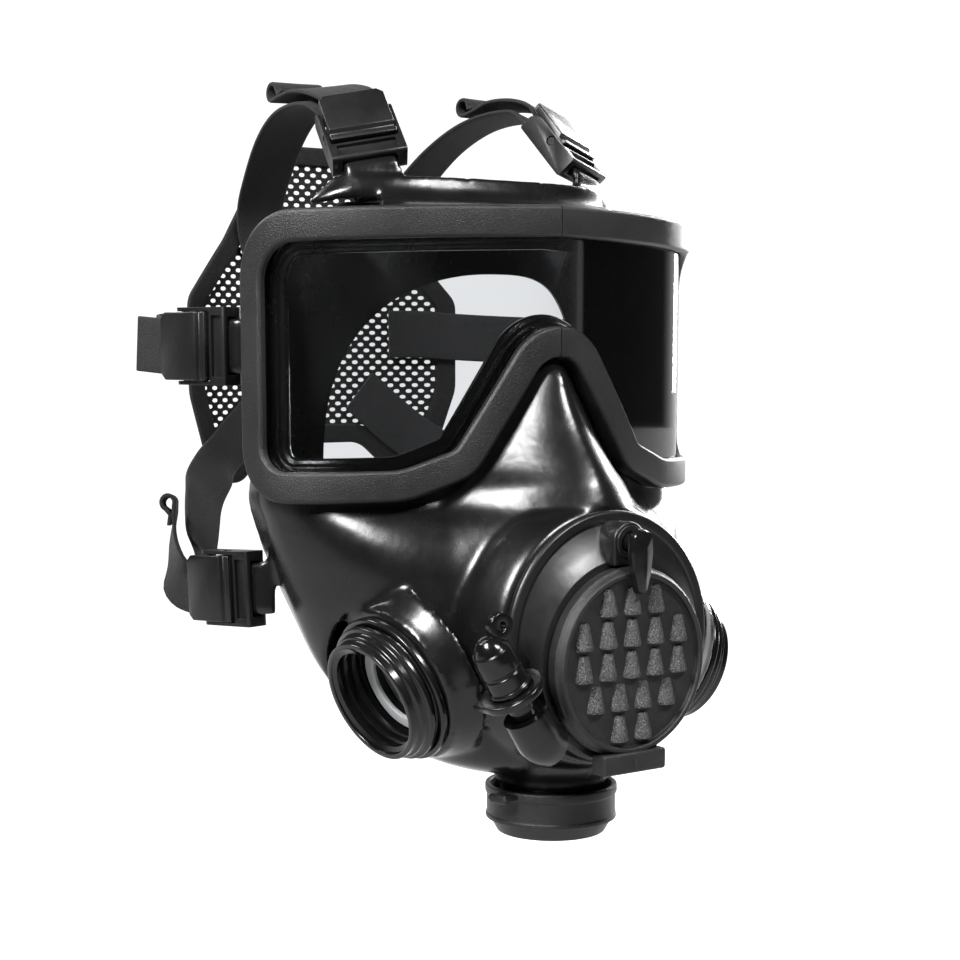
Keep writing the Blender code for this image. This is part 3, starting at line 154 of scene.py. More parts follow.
def add_floor():
    work = bmesh.new()
    bmesh.ops.create_circle(work, cap_ends=True, segments=96, radius=FLOOR_RADIUS)
    mesh = bpy.data.meshes.new("floor")
    work.to_mesh(mesh)
    work.free()
    floor = bpy.data.objects.new("floor", mesh)
    floor.location = (0, 0, FLOOR_HEIGHT)
    bpy.context.scene.collection.objects.link(floor)
    paint = Nodes("floor_paint")
    paint.set(Base_Color=(0.35, 0.35, 0.35, 1), Roughness=0.8, Emission_Color=(1, 1, 1, 1))
    glow = lit_behind(paint.tree, paint.place, 0.05, 0.4, 0.0, 1.0)
    paint.link(glow, paint.shader.inputs["Emission Strength"])
    mesh.materials.append(paint.material)
    floor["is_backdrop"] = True


# ==== materials =====================================================================================
class Nodes:
    """A short way to write a material's node tree."""

    def __init__(self, name):
        self.material = bpy.data.materials.new(name)
        self.material.use_nodes = True
        self.tree = self.material.node_tree
        self.shader = self.tree.nodes["Principled BSDF"]
        self.place = self.add("ShaderNodeTexCoord").outputs["Object"]

    def add(self, kind, **values):
        node = self.tree.nodes.new(kind)
        for key, value in values.items():
            setattr(node, key, value)
        return node

    def link(self, start, end):
        self.tree.links.new(start, end)

    def noise(self, scale, detail=4.0, rough=0.55, stretch=(1, 1, 1)):
        """A noise of so many features in a metre."""
        mapping = self.add("ShaderNodeMapping")
        mapping.inputs["Scale"].default_value = stretch
        self.link(self.place, mapping.inputs["Vector"])
        node = self.add("ShaderNodeTexNoise")
        node.inputs["Scale"].default_value = scale
        node.inputs["Detail"].default_value = detail
        node.inputs["Roughness"].default_value = rough
        self.link(mapping.outputs["Vector"], node.inputs["Vector"])
        return node.outputs["Fac"]

    def spread(self, value, low, high, start=0.3, end=0.7):
        """A value from 0 to 1, spread over a range."""
        node = self.add("ShaderNodeMapRange")
        for key, number in (("From Min", start), ("From Max", end), ("To Min", low), ("To Max", high)):
            node.inputs[key].default_value = number
        self.link(value, node.inputs["Value"])
        return node.outputs["Result"]

    def colours(self, value, low, high):
        node = self.add("ShaderNodeMix", data_type="RGBA")
        node.inputs["A"].default_value = (*low, 1)
        node.inputs["B"].default_value = (*high, 1)
        self.link(value, node.inputs["Factor"])
        self.link(node.outputs["Result"], self.shader.inputs["Base Color"])

    def bump(self, layers):
        """Bumps of (height value, depth in metres), one over the other."""
        last = None
        for value, depth in layers:
            node = self.add("ShaderNodeBump")
            node.inputs["Distance"].default_value = depth
            node.inputs["Strength"].default_value = 1.0
            self.link(value, node.inputs["Height"])
            if last is not None:
                self.link(last, node.inputs["Normal"])
            last = node.outputs["Normal"]
        self.link(last, self.shader.inputs["Normal"])

    def set(self, **values):
        for key, value in values.items():
            self.shader.inputs[key.replace("_", " ")].default_value = value


def moulded(name, low, high, rough, grain, grain_depth, smudge):
    """Moulded rubber or plastic: fine grain, and handling marks in the gloss."""
    nodes = Nodes(name)
    cloud = nodes.spread(nodes.noise(38, 5), 0, 1)
    nodes.colours(cloud, low, high)
    nodes.link(nodes.spread(nodes.noise(55, 6, 0.7, (1, 1, 0.6)), rough - smudge, rough + smudge),
               nodes.shader.inputs["Roughness"])
    nodes.set(IOR=1.5, Specular_IOR_Level=0.4)
    nodes.bump([(nodes.noise(60, 3), 0.00025), (nodes.noise(grain, 2, 0.5), grain_depth)])
    return nodes.material


def stud_material():
    """Coarse moulded grain, its raised tips painted light grey as glints."""
    nodes = Nodes("stud_grain")
    grain = nodes.noise(2400, 2, 0.6)
    # painted glints: where the grain rises, the colour goes from black to light grey as highlights
    nodes.colours(nodes.spread(grain, 0, 1, 0.5, 0.68), (0.006, 0.006, 0.006), (0.16, 0.16, 0.155))
    nodes.set(Roughness=0.42, IOR=1.5, Specular_IOR_Level=0.6)
    nodes.bump([(grain, 0.0006)])
    return nodes.material


def webbing_material():
    nodes = Nodes("webbing")
    grain = nodes.noise(2600, 3, 0.7)
    nodes.colours(nodes.spread(grain, 0, 1), (0.001, 0.001, 0.001), (0.022, 0.022, 0.023))
    nodes.set(Roughness=0.85, Specular_IOR_Level=0.25, Sheen_Weight=0.04, Sheen_Roughness=0.5)
    nodes.bump([(nodes.noise(1500, 2), 0.0004), (grain, 0.0003)])
    return nodes.material


def knit_material():
    nodes = Nodes("knit")
    grain = nodes.noise(1700, 4, 0.75)
    nodes.colours(nodes.spread(grain, 0, 1, 0.4, 0.75), (0.001, 0.001, 0.001), (0.020, 0.020, 0.021))
    nodes.set(Roughness=0.92, Specular_IOR_Level=0.2, Sheen_Weight=0.03, Sheen_Roughness=0.6)
    nodes.bump([(grain, 0.0007)])
    return nodes.material


def lens_material():
    """Clear polycarbonate: what passes through it, and what its surface mirrors."""
    nodes = Nodes("lens_clear")
    clear = nodes.add("ShaderNodeBsdfTransparent")
    clear.inputs["Color"].default_value = (0.86, 0.87, 0.88, 1)
    edge = nodes.add("ShaderNodeFresnel")
    edge.inputs["IOR"].default_value = 1.45
    mirror = nodes.add("ShaderNodeBsdfAnisotropic")
    mirror.inputs["Color"].default_value = (1, 1, 1, 1)
    mirror.inputs["Roughness"].default_value = 0.03
    mix = nodes.add("ShaderNodeMixShader")
    nodes.link(edge.outputs["Fac"], mix.inputs["Fac"])
    nodes.link(clear.outputs["BSDF"], mix.inputs[1])
    nodes.link(mirror.outputs["BSDF"], mix.inputs[2])
    nodes.link(mix.outputs["Shader"], nodes.tree.nodes["Material Output"].inputs["Surface"])
    nodes.tree.nodes.remove(nodes.shader)
    return nodes.material


# look: (darkest and lightest grey, roughness, grain in a metre, grain depth, smudge)
MOULDED = {
    "rubber": ((0.002,) * 3, (0.006,) * 3, 0.25, 1800, 0.00002, 0.06),
    "frame_plastic": ((0.003,) * 3, (0.012,) * 3, 0.42, 2300, 0.00025, 0.04),
    "gloss_plastic": ((0.002,) * 3, (0.006,) * 3, 0.18, 900, 0.00001, 0.04),
    "module_plastic": ((0.003,) * 3, (0.009,) * 3, 0.33, 2200, 0.00003, 0.06),
    "cover_rubber": ((0.005,) * 3, (0.014,) * 3, 0.45, 2900, 0.0002, 0.05),
    "buckle_nylon": ((0.003,) * 3, (0.010,) * 3, 0.34, 1500, 0.00003, 0.06),
    "silicone": ((0.36, 0.37, 0.38), (0.48, 0.49, 0.50), 0.42, 1500, 0.00002, 0.06),
}


MATERIALS = {look: moulded(look, *values) for look, values in MOULDED.items()}
MATERIALS.update(stud_grain=stud_material(), lens=lens_material(), webbing=webbing_material(),
                 mesh_fabric=knit_material())


# ==== mesh tools ====================================================================================
def finish_piece(name, mesh, look, replaced=(), body="mask", sharp=38):
    """Puts a mesh in the scene on its body, in place of the CAD nodes that it replaces."""
    mesh.materials.clear()
    mesh.materials.append(MATERIALS[look])
    mesh.shade_smooth()
    mesh.set_sharp_from_angle(angle=math.radians(sharp))
    piece = bpy.data.objects.new(name, mesh)
    bpy.context.scene.collection.objects.link(piece)
    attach(piece, body)
    if replaced:
        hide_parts(*replaced)
    return piece


def mesh_of(name, points, faces):
    """A mesh from points in millimetres, welded and with its faces turned outward."""
    weld = 0.01 * MM
    mesh = bpy.data.meshes.new(name)
    mesh.from_pydata([tuple(float(c) * MM for c in p) for p in points], [], faces)
    work = bmesh.new()
    work.from_mesh(mesh)
    bmesh.ops.remove_doubles(work, verts=work.verts, dist=weld)
    bmesh.ops.dissolve_degenerate(work, edges=work.edges, dist=weld)
    bmesh.ops.recalc_face_normals(work, faces=work.faces)
    work.to_mesh(mesh)
    work.free()
    return mesh


def skin(name, rings, loop=False):
    """A surface through rings of equally many points; capped at both ends unless it is a loop."""
    count = len(rings[0])
    faces = []
    for i in range(len(rings) if loop else len(rings) - 1):
        a, b = i * count, ((i + 1) % len(rings)) * count
        faces += [(a + j, a + (j + 1) % count, b + (j + 1) % count, b + j) for j in range(count)]
    if not loop:
        last = (len(rings) - 1) * count
        faces.append(tuple(range(count))[::-1])
        faces.append(tuple(last + j for j in range(count)))
    return mesh_of(name, [p for ring in rings for p in ring], faces)


def soften(outline, radius, steps=3, closed=True):
    """Rounds each corner of a flat outline of (x, y) points."""
    points = [Vector((p[0], p[1])) for p in outline]
    out = []
    count = len(points)
    for i, here in enumerate(points):
        if not closed and i in (0, count - 1):
            out.append(here)
            continue
        before, after = points[i - 1], points[(i + 1) % count]
        reach = min(radius, 0.45 * (before - here).length, 0.45 * (after - here).length)
        start = here + (before - here).normalized() * reach
        end = here + (after - here).normalized() * reach
        for k in range(steps + 1):
            t = k / steps
            out.append(start * (1 - t) ** 2 + here * 2 * t * (1 - t) + end * t * t)
    return out


def axis_turn(axis):
    return UP.rotation_difference(Vector(axis)).to_matrix()


def turned(name, profile, place, axis, steps=96, soft=0.4):
    """A body of revolution of (radius, height) points, its corners rounded."""
    open_ends = min(r for r, _ in profile) < 1e-6
    outline = soften(profile, soft, closed=not open_ends) if soft else [Vector(p) for p in profile]
    turn = axis_turn(axis)
    rings = []
    for i in range(steps):
        a = 2 * math.pi * i / steps
        rings.append([Vector(place) + turn @ Vector((p.x * math.cos(a), p.x * math.sin(a), p.y))
                      for p in outline])
    if not open_ends:
        return skin(name, rings, loop=True)
    count = len(outline)
    faces = []
    for i in range(steps):
        a, b = i * count, ((i + 1) % steps) * count
        faces += [(a + j, a + j + 1, b + j + 1, b + j) for j in range(count - 1)]
    return mesh_of(name, [p for ring in rings for p in ring], faces)


def smooth_curve(points, per_span=8):
    """Points on a Catmull-Rom curve through the given ones."""
    given = [Vector(p) for p in points]
    padded = [2 * given[0] - given[1]] + given + [2 * given[-1] - given[-2]]
    out = []
    for a, b, c, d in zip(padded, padded[1:], padded[2:], padded[3:]):
        for step in range(per_span):
            t = step / per_span
            out.append(0.5 * ((2 * b) + (c - a) * t + (2 * a - 5 * b + 4 * c - d) * t * t
                              + (3 * b - a - 3 * c + d) * t ** 3))
    return out + [given[-1]]


def joined(name, meshes):
    """Several meshes as one."""
    work = bmesh.new()
    for mesh in meshes:
        work.from_mesh(mesh)
    out = bpy.data.meshes.new(name)
    work.to_mesh(out)
    work.free()
    return out


def evaluated(mesh, modifiers):
    """The mesh with modifiers applied, each a (type, settings) pair."""
    holder = bpy.data.objects.new("holder", mesh)
    bpy.context.scene.collection.objects.link(holder)
    for kind, settings in modifiers:
        change = holder.modifiers.new(kind.lower(), kind)
        for key, value in settings.items():
            setattr(change, key, value)
    bpy.context.view_layer.update()
    graph = bpy.context.evaluated_depsgraph_get()
    out = bpy.data.meshes.new_from_object(holder.evaluated_get(graph))
    bpy.data.objects.remove(holder)
    return out


def carve(mesh, cutters, operation="DIFFERENCE"):
    """The mesh with each closed cutter taken out of it, or joined to it."""
    for cutter in cutters:
        tool = bpy.data.objects.new("tool", cutter)
        bpy.context.scene.collection.objects.link(tool)
        mesh = evaluated(mesh, [("BOOLEAN", {"operation": operation, "object": tool, "solver": "MANIFOLD"})])
        bpy.data.objects.remove(tool)
    return mesh


def bevelled(mesh, width, segments=2):
    return evaluated(mesh, [("BEVEL", {"width": width * MM, "segments": segments, "limit_method": "ANGLE",
                                       "angle_limit": math.radians(30), "harden_normals": False})])


# ==== the visor's surface and outline ===============================================================
VISOR_TOP, VISOR_TOP_AT_TEMPLE, VISOR_BOTTOM, VISOR_END = 110.2, 106.5, 6.5, 123.6
TOP_CORNER_RADIUS, BOTTOM_CORNER_RADIUS = 25.0, 20.0
CHEEK_CORNER = (60.0, 7.5, 40.0)
NOSE_CORNER = (35.0, 16.0, 18.0)
NOSE_PEAK, NOSE_PEAK_RADIUS = 66.0, 12.0


def arc_table(half_width, depth):
    theta = np.linspace(0, math.pi / 2, 721)
    x, y = half_width * np.sin(theta), -depth * np.cos(theta)
    return theta, np.concatenate([[0], np.cumsum(np.hypot(np.diff(x), np.diff(y)))])


VISOR_THETA, VISOR_LENGTH = arc_table(VISOR_HALF_WIDTH, VISOR_DEPTH)


def on_visor(along, height, depth):
    """A point at a length round the frame's face, at a height, and so far out of the face."""
    side = -1 if along < 0 else 1
    theta = float(np.interp(abs(along), VISOR_LENGTH, VISOR_THETA))
    past = max(0.0, abs(along) - float(VISOR_LENGTH[-1]))
    normal = Vector((math.sin(theta) / VISOR_HALF_WIDTH, -math.cos(theta) / VISOR_DEPTH)).normalized()
    x = VISOR_HALF_WIDTH * math.sin(theta) + normal.x * depth
    y = -VISOR_DEPTH * math.cos(theta) + normal.y * depth + past
    return Vector((side * x, y, height))


def filleted(corners, arc_step=5, run_step=3.0):
    """Points along a chain of straight runs whose inner corners (x, y, radius) are rounded."""
    points = [Vector(corners[0][:2])]

    def run_to(end):
        start = points[-1]
        count = max(1, math.ceil((end - start).length / run_step))
        for i in range(1, count + 1):
            add(start.lerp(end, i / count))

    def add(point):
        if (point - points[-1]).length > 0.4:
            points.append(point)

    for before, here, after in zip(corners, corners[1:], corners[2:]):
        p, q, r = Vector(before[:2]), Vector(here[:2]), Vector(after[:2])
        u, v = (p - q).normalized(), (r - q).normalized()
        half = u.angle(v) / 2
        centre = q + (u + v).normalized() * (here[2] / math.sin(half))
        first, end = q + u * (here[2] / math.tan(half)), q + v * (here[2] / math.tan(half))
        start_angle = math.atan2(first.y - centre.y, first.x - centre.x)
        turn = math.atan2(end.y - centre.y, end.x - centre.x) - start_angle
        turn = (turn + math.pi) % (2 * math.pi) - math.pi
        steps = max(3, round(abs(math.degrees(turn)) / arc_step))
        run_to(first)
        for i in range(steps + 1):
            angle = start_angle + turn * i / steps
            add(centre + Vector((math.cos(angle), math.sin(angle))) * here[2])
    run_to(Vector(corners[-1][:2]))
    return points


def arc(centre, radius, start, end, count):
    """Points of a plane arc, angles in degrees."""
    angles = np.radians(np.linspace(start, end, count))
    return [Vector((centre[0] + radius * math.cos(a), centre[1] + radius * math.sin(a))) for a in angles]


def visor_outline():
    """The left half of the frame's outline, from the top middle round to the nose peak."""
    leg = Vector(NOSE_CORNER[:2]) - Vector((0, NOSE_PEAK))
    half = math.atan2(leg.x, -leg.y)
    lift = NOSE_PEAK_RADIUS / math.sin(half)
    centre = Vector((0, NOSE_PEAK - lift))
    touch = Vector((math.cos(half), math.sin(half))) * NOSE_PEAK_RADIUS + centre
    chain = filleted([(0.0, VISOR_TOP), (VISOR_END, VISOR_TOP_AT_TEMPLE, TOP_CORNER_RADIUS),
                      (VISOR_END, VISOR_BOTTOM, BOTTOM_CORNER_RADIUS),
                      CHEEK_CORNER, NOSE_CORNER, tuple(touch)])
    return chain + arc(centre, NOSE_PEAK_RADIUS, math.degrees(half), 90, 12)[1:]


def inward_normals(points):
    """Unit normals to the right of the direction of travel, vertical at both ends on the mid-plane."""
    normals = []
    for i in range(len(points)):
        along = points[min(i + 1, len(points) - 1)] - points[max(i - 1, 0)]
        normals.append(Vector((along.y, -along.x)).normalized())
    normals[0], normals[-1] = Vector((0, -1)), Vector((0, 1))
    return normals


def inset(chain, distance):
    return [p + n * distance for p, n in zip(chain, inward_normals(chain))]


def spans(chain, least=1.0):
    """Stations along a symmetric outline: (along, bottom, top), thinned to a least spacing."""
    tip = max(range(len(chain)), key=lambda i: chain[i].x)
    top, bottom = chain[:tip + 1], chain[tip:][::-1]
    tx, ty = [p.x for p in top], [p.y for p in top]
    bx, by = [p.x for p in bottom], [p.y for p in bottom]
    end = min(max(tx), max(bx))
    stations = []
    for x in sorted(tx + bx):
        if x <= end and (not stations or x - stations[-1] > least):
            stations.append(x)
    stations[-1] = end - 0.01
    half = [(x, float(np.interp(x, bx, by)), float(np.interp(x, tx, ty))) for x in stations]
    half[0] = (0.0, by[0], ty[0])
    return [(-x, low, high) for x, low, high in half[:0:-1]] + half


def plate(name, stations, front, back, surface):
    """A curved plate between two depths of a surface."""
    rings = []
    for along, low, high in stations:
        rings.append([surface(along, low, front), surface(along, high, front),
                      surface(along, high, back), surface(along, low, back)])
    return skin(name, rings)


def swept(name, chain, side, profile, surface, seam=0.0, loop=False):
    """A profile of (inward, outward) points carried along an outline drawn on a surface."""
    places = [(side * p.x, p.y, side * n.x, n.y) for p, n in zip(chain, inward_normals(chain))]
    places[0] = (side * seam, *places[0][1:])
    places[-1] = (side * seam, *places[-1][1:])
    if loop:
        places += [(-a, b, -c, d) for a, b, c, d in places[-2:0:-1]]
    rings = [[surface(a + c * t, b + d * t, out) for t, out in profile] for a, b, c, d in places]
    return skin(name, rings, loop)


def build_visor():
    """The curved lens and the two halves of its frame."""
    chain = visor_outline()
    lens_front = -(BAND_THICKNESS + GAP)
    lens = plate("lens_shell", spans(inset(chain, SKIRT_WALL + 2 * GAP)), lens_front,
                 lens_front - LENS_THICKNESS, on_visor)
    finish_piece("lens_shell", lens, "lens", ["visor_lens"])
    profile = soften([(0, -FRAME_DEPTH), (0, -1.3), (0.5, -0.5), (1.3, 0), (BAND_WIDTH - 0.9, 0),
                      (BAND_WIDTH, -0.9), (BAND_WIDTH, -BAND_THICKNESS), (SKIRT_WALL, -BAND_THICKNESS),
                      (SKIRT_WALL, -FRAME_DEPTH)], 0.35, 2)
    for name, side in SIDES:
        half = swept(f"frame_half_{name}", chain, side, profile, on_visor, seam=0.15)
        finish_piece(f"frame_half_{name}", half, "frame_plastic", [f"visor_frame_{name}"], sharp=50)


# ==== facepiece =====================================================================================
# height: (where the ellipse is centred, half width, front, rear half width, rear, nose rise, nose half width)
LEVELS = (
    (-91.5, (-50, 20, -64, 16, -40, 0, 50)),
    (-89.5, (-46, 33, -70, 28, -32, 0, 50)),
    (-84.0, (-38, 47, -75, 42, -24, 0, 50)),
    (-75.0, (-26, 59, -78, 54, -14, 0, 50)),
    (-64.0, (-16, 67, -80, 62, -6, 0, 50)),
    (-52.0, (-9, 73, -81, 69, 0, 1, 50)),
    (-38.0, (-4, 77.5, -80, 74, 5, 2, 50)),
    (-17.0, (0, 84, -74.5, 81, 12, 8, 50)),
    (-8.0, (0, 86.5, -69, 84, 13.5, 13, 48)),
    (-1.0, (0, 88.5, -61, 86, 14, 22, 46)),
    (6.5, (0, 90.8, -50.2, 88.3, 13.5, 33, 42)),
    (11.0, (0, 91.0, -49.3, 88.5, 12.5, 32, 39)),
    (18.0, (0, 91.2, -49.4, 89, 10, 28, 31)),
    (32.0, (0, 91.2, -49.4, 90, 5, 18, 21)),
    (46.0, (0, 91.2, -49.4, 90, 4, 10.5, 12)),
    (52.0, (0, 91.2, -49.4, 90, 4, 8, 8)),
    (56.0, (0, 91.2, -49.4, 90, 4, 3, 6)),
    (80.0, (0, 91.2, -49.4, 90, 4, 0, 6)),
    (108.0, (0, 88.0, -48.5, 86, 4, 0, 6)),
    (110.5, (0, 80.0, -43, 77, 3, 0, 6)),
    (112.0, (0, 70.0, -31, 67, 2, 0, 6)),
    (116.0, (0, 65.0, -26.5, 62, 1, 0, 6)),
    (121.0, (-2, 60.0, -25, 55, -4, 0, 6)),
)


def steady_cubic(places, values, wanted):
    """A cubic through the values that never overshoots them."""
    x, y = np.array(places, float), np.array(values, float)
    slope = np.diff(y) / np.diff(x)
    tangent = np.zeros(len(x))
    for i in range(1, len(x) - 1):
        if slope[i - 1] * slope[i] > 0:
            tangent[i] = 2 * slope[i - 1] * slope[i] / (slope[i - 1] + slope[i])
    tangent[0], tangent[-1] = slope[0], slope[-1]
    k = np.clip(np.searchsorted(x, wanted) - 1, 0, len(x) - 2)
    h = x[k + 1] - x[k]
    t = (wanted - x[k]) / h
    return (y[k] * (1 + 2 * t) * (1 - t) ** 2 + h * tangent[k] * t * (1 - t) ** 2
            + y[k + 1] * t * t * (3 - 2 * t) + h * tangent[k + 1] * t * t * (t - 1))


def section(values):
    """One level of the facepiece: from the wearer's right temple round the front to the left."""
    middle, width, front, rear_width, rear, rise, reach = values
    points = []
    for angle in np.arange(-90, 90.1, 2):
        turn = math.radians(angle)
        x = width * math.sin(turn)
        share = min(1.0, abs(x) / reach)
        y = middle + (front - middle) * math.cos(turn) - rise * (1 - share ** 1.55)
        points.append((x, y))
    half = [(width + (rear_width - width) * i / 6, middle + (rear - middle) * i / 6) for i in range(1, 7)]
    return [(-x, y) for x, y in half[::-1]] + points + half


def facepiece_shell():
    levels = np.linspace(LEVELS[0][0], LEVELS[-1][0], 120)
    columns = [steady_cubic([z for z, _ in LEVELS], [v[i] for _, v in LEVELS], levels) for i in range(7)]
    rings = [[(x, y, z) for x, y in section([c[i] for c in columns])] for i, z in enumerate(levels)]
    count = len(rings[0])
    faces = []
    for i in range(len(rings) - 1):
        for j in range(count - 1):
            a, b = i * count + j, (i + 1) * count + j
            faces.append((a, a + 1, b + 1, b))
    last = count - 1
    for k in range(last // 2):
        floor = (last - k, last - k - 1, k + 1, k)
        faces.append(floor if floor[1] != floor[2] else (last - k, k + 1, k))
    mesh = bpy.data.meshes.new("shell")
    mesh.from_pydata([tuple(c * MM for c in p) for ring in rings for p in ring], [], faces)
    return evaluated(mesh, [("SOLIDIFY", {"thickness": RUBBER * MM, "offset": -1})])


def port_places():
    """Each port: its name, the middle of its lip and its outward axis."""
    axis = Vector((0.935, -0.06, -0.35)).normalized()
    for name, side in SIDES:
        yield name, Vector((side * 74.0, -44.6, -61.0)), Vector((side * axis.x, axis.y, axis.z))
    yield "chin", CHIN_PORT, DOWN


def buckle_places():
    """Each buckle: its name, the middle of its base, the strap's direction and the outward normal."""
    for name, side in SIDES:
        yield f"top_{name}", Vector((side * 48.5, -8.5, 125.5)), Vector((side * -0.15, 0.68, 0.72)), \
            Vector((side * 0.41, -0.72, 0.56))
        yield f"temple_{name}", Vector((side * 95.8, 8.5, 61)), Vector((side * 0.26, 0.966, 0)), \
            Vector((side * 0.966, -0.26, 0))
        yield f"lower_{name}", Vector((side * 87.4, 9.2, -25.8)), Vector((side * 0.22, 0.97, -0.05)), \
            Vector((side * 0.97, -0.22, 0.0))


def buckle_axes(along, normal):
    """The buckle's sideways, lengthways and outward directions."""
    y = along.normalized()
    z = (normal - y * normal.dot(y)).normalized()
    return y.cross(z), y, z


TAB_ROOTS = {"top": (45.0, -13.5, 112.0), "temple": (89.6, 1.8, 61), "lower": (83.0, 3.0, -24)}
TAB_HALF, TAB_THICKNESS, TAB_IN_BUCKLE = 9.8, 3.6, 5.0


def tab_mesh(name, place, along, normal):
    """The rubber tongue that carries a buckle."""
    x, y, z = buckle_axes(along, normal)
    root = Vector(TAB_ROOTS[name.split("_")[0]])
    root.x *= 1 if place.x > 0 else -1
    bend = place - y * 2.5
    rings = []
    for middle, half, thick in ((root, TAB_HALF + 2, 2.0), (root.lerp(bend, 0.55), TAB_HALF, TAB_THICKNESS),
                                (bend, TAB_HALF, TAB_THICKNESS),
                                (place + y * TAB_IN_BUCKLE, TAB_HALF, TAB_THICKNESS)):
        rings.append([middle + x * (a * half) + z * (b * thick / 2)
                      for a, b in ((-1, -1), (1, -1), (1, 1), (-1, 1))])
    return skin("tab", rings)


def cylinder(radius, low, high, place, axis):
    return turned("cutter", [(0, low), (radius, low), (radius, high), (0, high)], place, axis, soft=0)


def corner_trims():
    """What is cut off the shell above the frame's two upper corners, outside the top buckles."""
    tops = [(x, high) for x, _, high in spans(visor_outline()) if x >= 0]
    outline_x, outline_top = zip(*tops)
    for side in (-1, 1):
        stations = []
        for along in np.arange(62, 140, 2.0):
            ramp = max(0.0, 1 - (along - 62) / 9)
            low = float(np.interp(along, outline_x, outline_top)) - 2.0 + 15 * ramp * ramp
            stations.append((side * float(along), low, 140.0))
        yield plate("trim", stations, 14, -30, on_visor)


def build_facepiece():
    """The moulded rubber: shell, seat, necks and tongues run together, then cut for what it holds."""
    seat_front = -MODULE_FRONT - MODULE_RIM - GAP
    shell = facepiece_shell()
    seat = turned("seat", [(0, 58), (52, 58), (50, 70), (46.5, seat_front - 3), (MODULE_RADIUS, seat_front),
                           (0, seat_front)], MODULE_MIDDLE, FORWARD, soft=1.0)
    shell = carve(shell, [seat], "UNION")
    for name, place, axis in port_places():
        shell = carve(shell, [cylinder(NECK_RADIUS + 1.5, -14.5, 20, place, axis)])
        chin = name == "chin"
        throat = CLAMP_THROAT * (CHIN_SCALE if chin else 1)
        base, outer, front = (27.0, throat, -12.0 - GAP) if chin else (34.0, NECK_RADIUS, -9.0)
        neck = turned("neck", [(0, -24), (base, -24), (base - 1.5, -21), (outer, -15.5), (outer, -13),
                               (throat, -12.6), (throat, front), (0, front)], place, axis)
        shell = carve(shell, [neck], "UNION")
    shell = carve(shell, [tab_mesh(*spec) for spec in buckle_places()], "UNION")
    shell = carve(shell, corner_trims())
    shell = evaluated(shell, [("REMESH", {"mode": "VOXEL", "voxel_size": VOXEL * MM, "adaptivity": 0.0}),
                              ("SMOOTH", {"factor": 0.5, "iterations": 16})])
    for name, place, axis in port_places():
        wide = NECK_BORE * (CHIN_SCALE if name == "chin" else 1)
        bore = turned("bore", [(0, -60), (wide - 1.5, -60), (wide - 1.5, -20), (wide + GAP, -20),
                               (wide + GAP, 5), (0, 5)], place, axis, soft=0)
        shell = carve(shell, [bore])
    shell = carve(shell, [cylinder(BORE_RADIUS, 20, 120, MODULE_MIDDLE, FORWARD),
                          cylinder(MODULE_RADIUS + 1.5, seat_front, 120, MODULE_MIDDLE, FORWARD)])
    chain = visor_outline()
    shell = carve(shell, [plate("opening", spans(inset(chain, BAND_WIDTH + 0.5)), 4, -40, on_visor)])
    back = -(FRAME_DEPTH + GAP)
    room = [(-GAP, back), (-GAP, 14), (BAND_WIDTH + 1.0, 14), (BAND_WIDTH + 1.0, back)]
    shell = carve(shell, [swept("room", chain, 1, room, on_visor, loop=True)])
    lip = soften([(BAND_WIDTH - 2, -7.6), (BAND_WIDTH + 1.8, -7.6), (BAND_WIDTH + 1.8, -9.6),
                  (BAND_WIDTH + 4.2, -10.2), (BAND_WIDTH + 4.2, -13), (BAND_WIDTH - 2, -13)], 0.9)
    shell = joined("facepiece_skin", [shell, swept("lip", chain, 1, lip, on_visor, loop=True)])
    finish_piece("facepiece_skin", shell, "rubber", ["facepiece"], sharp=42)


SEAL_THICKNESS, SEAL_HALF_WIDTH, SEAL_TOP, SEAL_BOTTOM = 2.0, 59.5, 87.0, -58.0


def seal_edge():
    """The inner side of the facepiece's rear edge, going once round the face."""
    inner = RUBBER + 3.0
    left = []
    for z, (_, _, _, rear_width, rear, _, _) in LEVELS[1:-1]:
        lift = 6.0 if z < -80 else (-4.5 if z > 105 else 0.0)
        left.append(Vector((rear_width - inner, rear - 1.5, z + lift)))
    z, (middle, width, front, _, _, _, _) = LEVELS[-2]
    top = []
    for angle in (62, 48, 34, 22, 11, 0):
        turn = math.radians(angle)
        reach = middle - front - inner - 2.0
        top.append(Vector(((width - inner - 2.0) * math.sin(turn), middle - reach * math.cos(turn), z - 4.5)))
    return left + top


def build_face_seal():
    """The thin inner lip: from the facepiece's rear edge to a rounded opening round the face."""
    half = seal_edge()
    outline = half + [Vector((-p.x, p.y, p.z)) for p in half[-2::-1]]
    outline = smooth_curve(outline + [outline[0]], 4)[:-1]
    centre_z = (SEAL_TOP + SEAL_BOTTOM) / 2
    rings = []
    for outer in outline:
        angle = math.atan2((outer.z - centre_z) / (SEAL_TOP - centre_z), outer.x / SEAL_HALF_WIDTH)
        c, s = math.cos(angle), math.sin(angle)
        size = (abs(c) ** 2.6 + abs(s) ** 2.6) ** (-1 / 2.6)
        inner = Vector((SEAL_HALF_WIDTH * size * c, 8.0 - 28.0 * abs(s) ** 3,
                        centre_z + (SEAL_TOP - centre_z) * size * s))
        lift = (inner - outer).cross(Vector((-s, 0, c))).normalized() * (SEAL_THICKNESS / 2)
        upper, lower = [], []
        for step in range(9):
            share = step / 8
            here = outer.lerp(inner, share) + Vector((0, 12.0 * share * (1 - share), 0))
            thin = 1 - 0.55 * share ** 3
            upper.append(here + lift * thin)
            lower.append(here - lift * thin)
        rings.append(upper + lower[::-1])
    finish_piece("seal_skin", skin("seal_skin", rings, loop=True), "rubber", ["face_seal"])


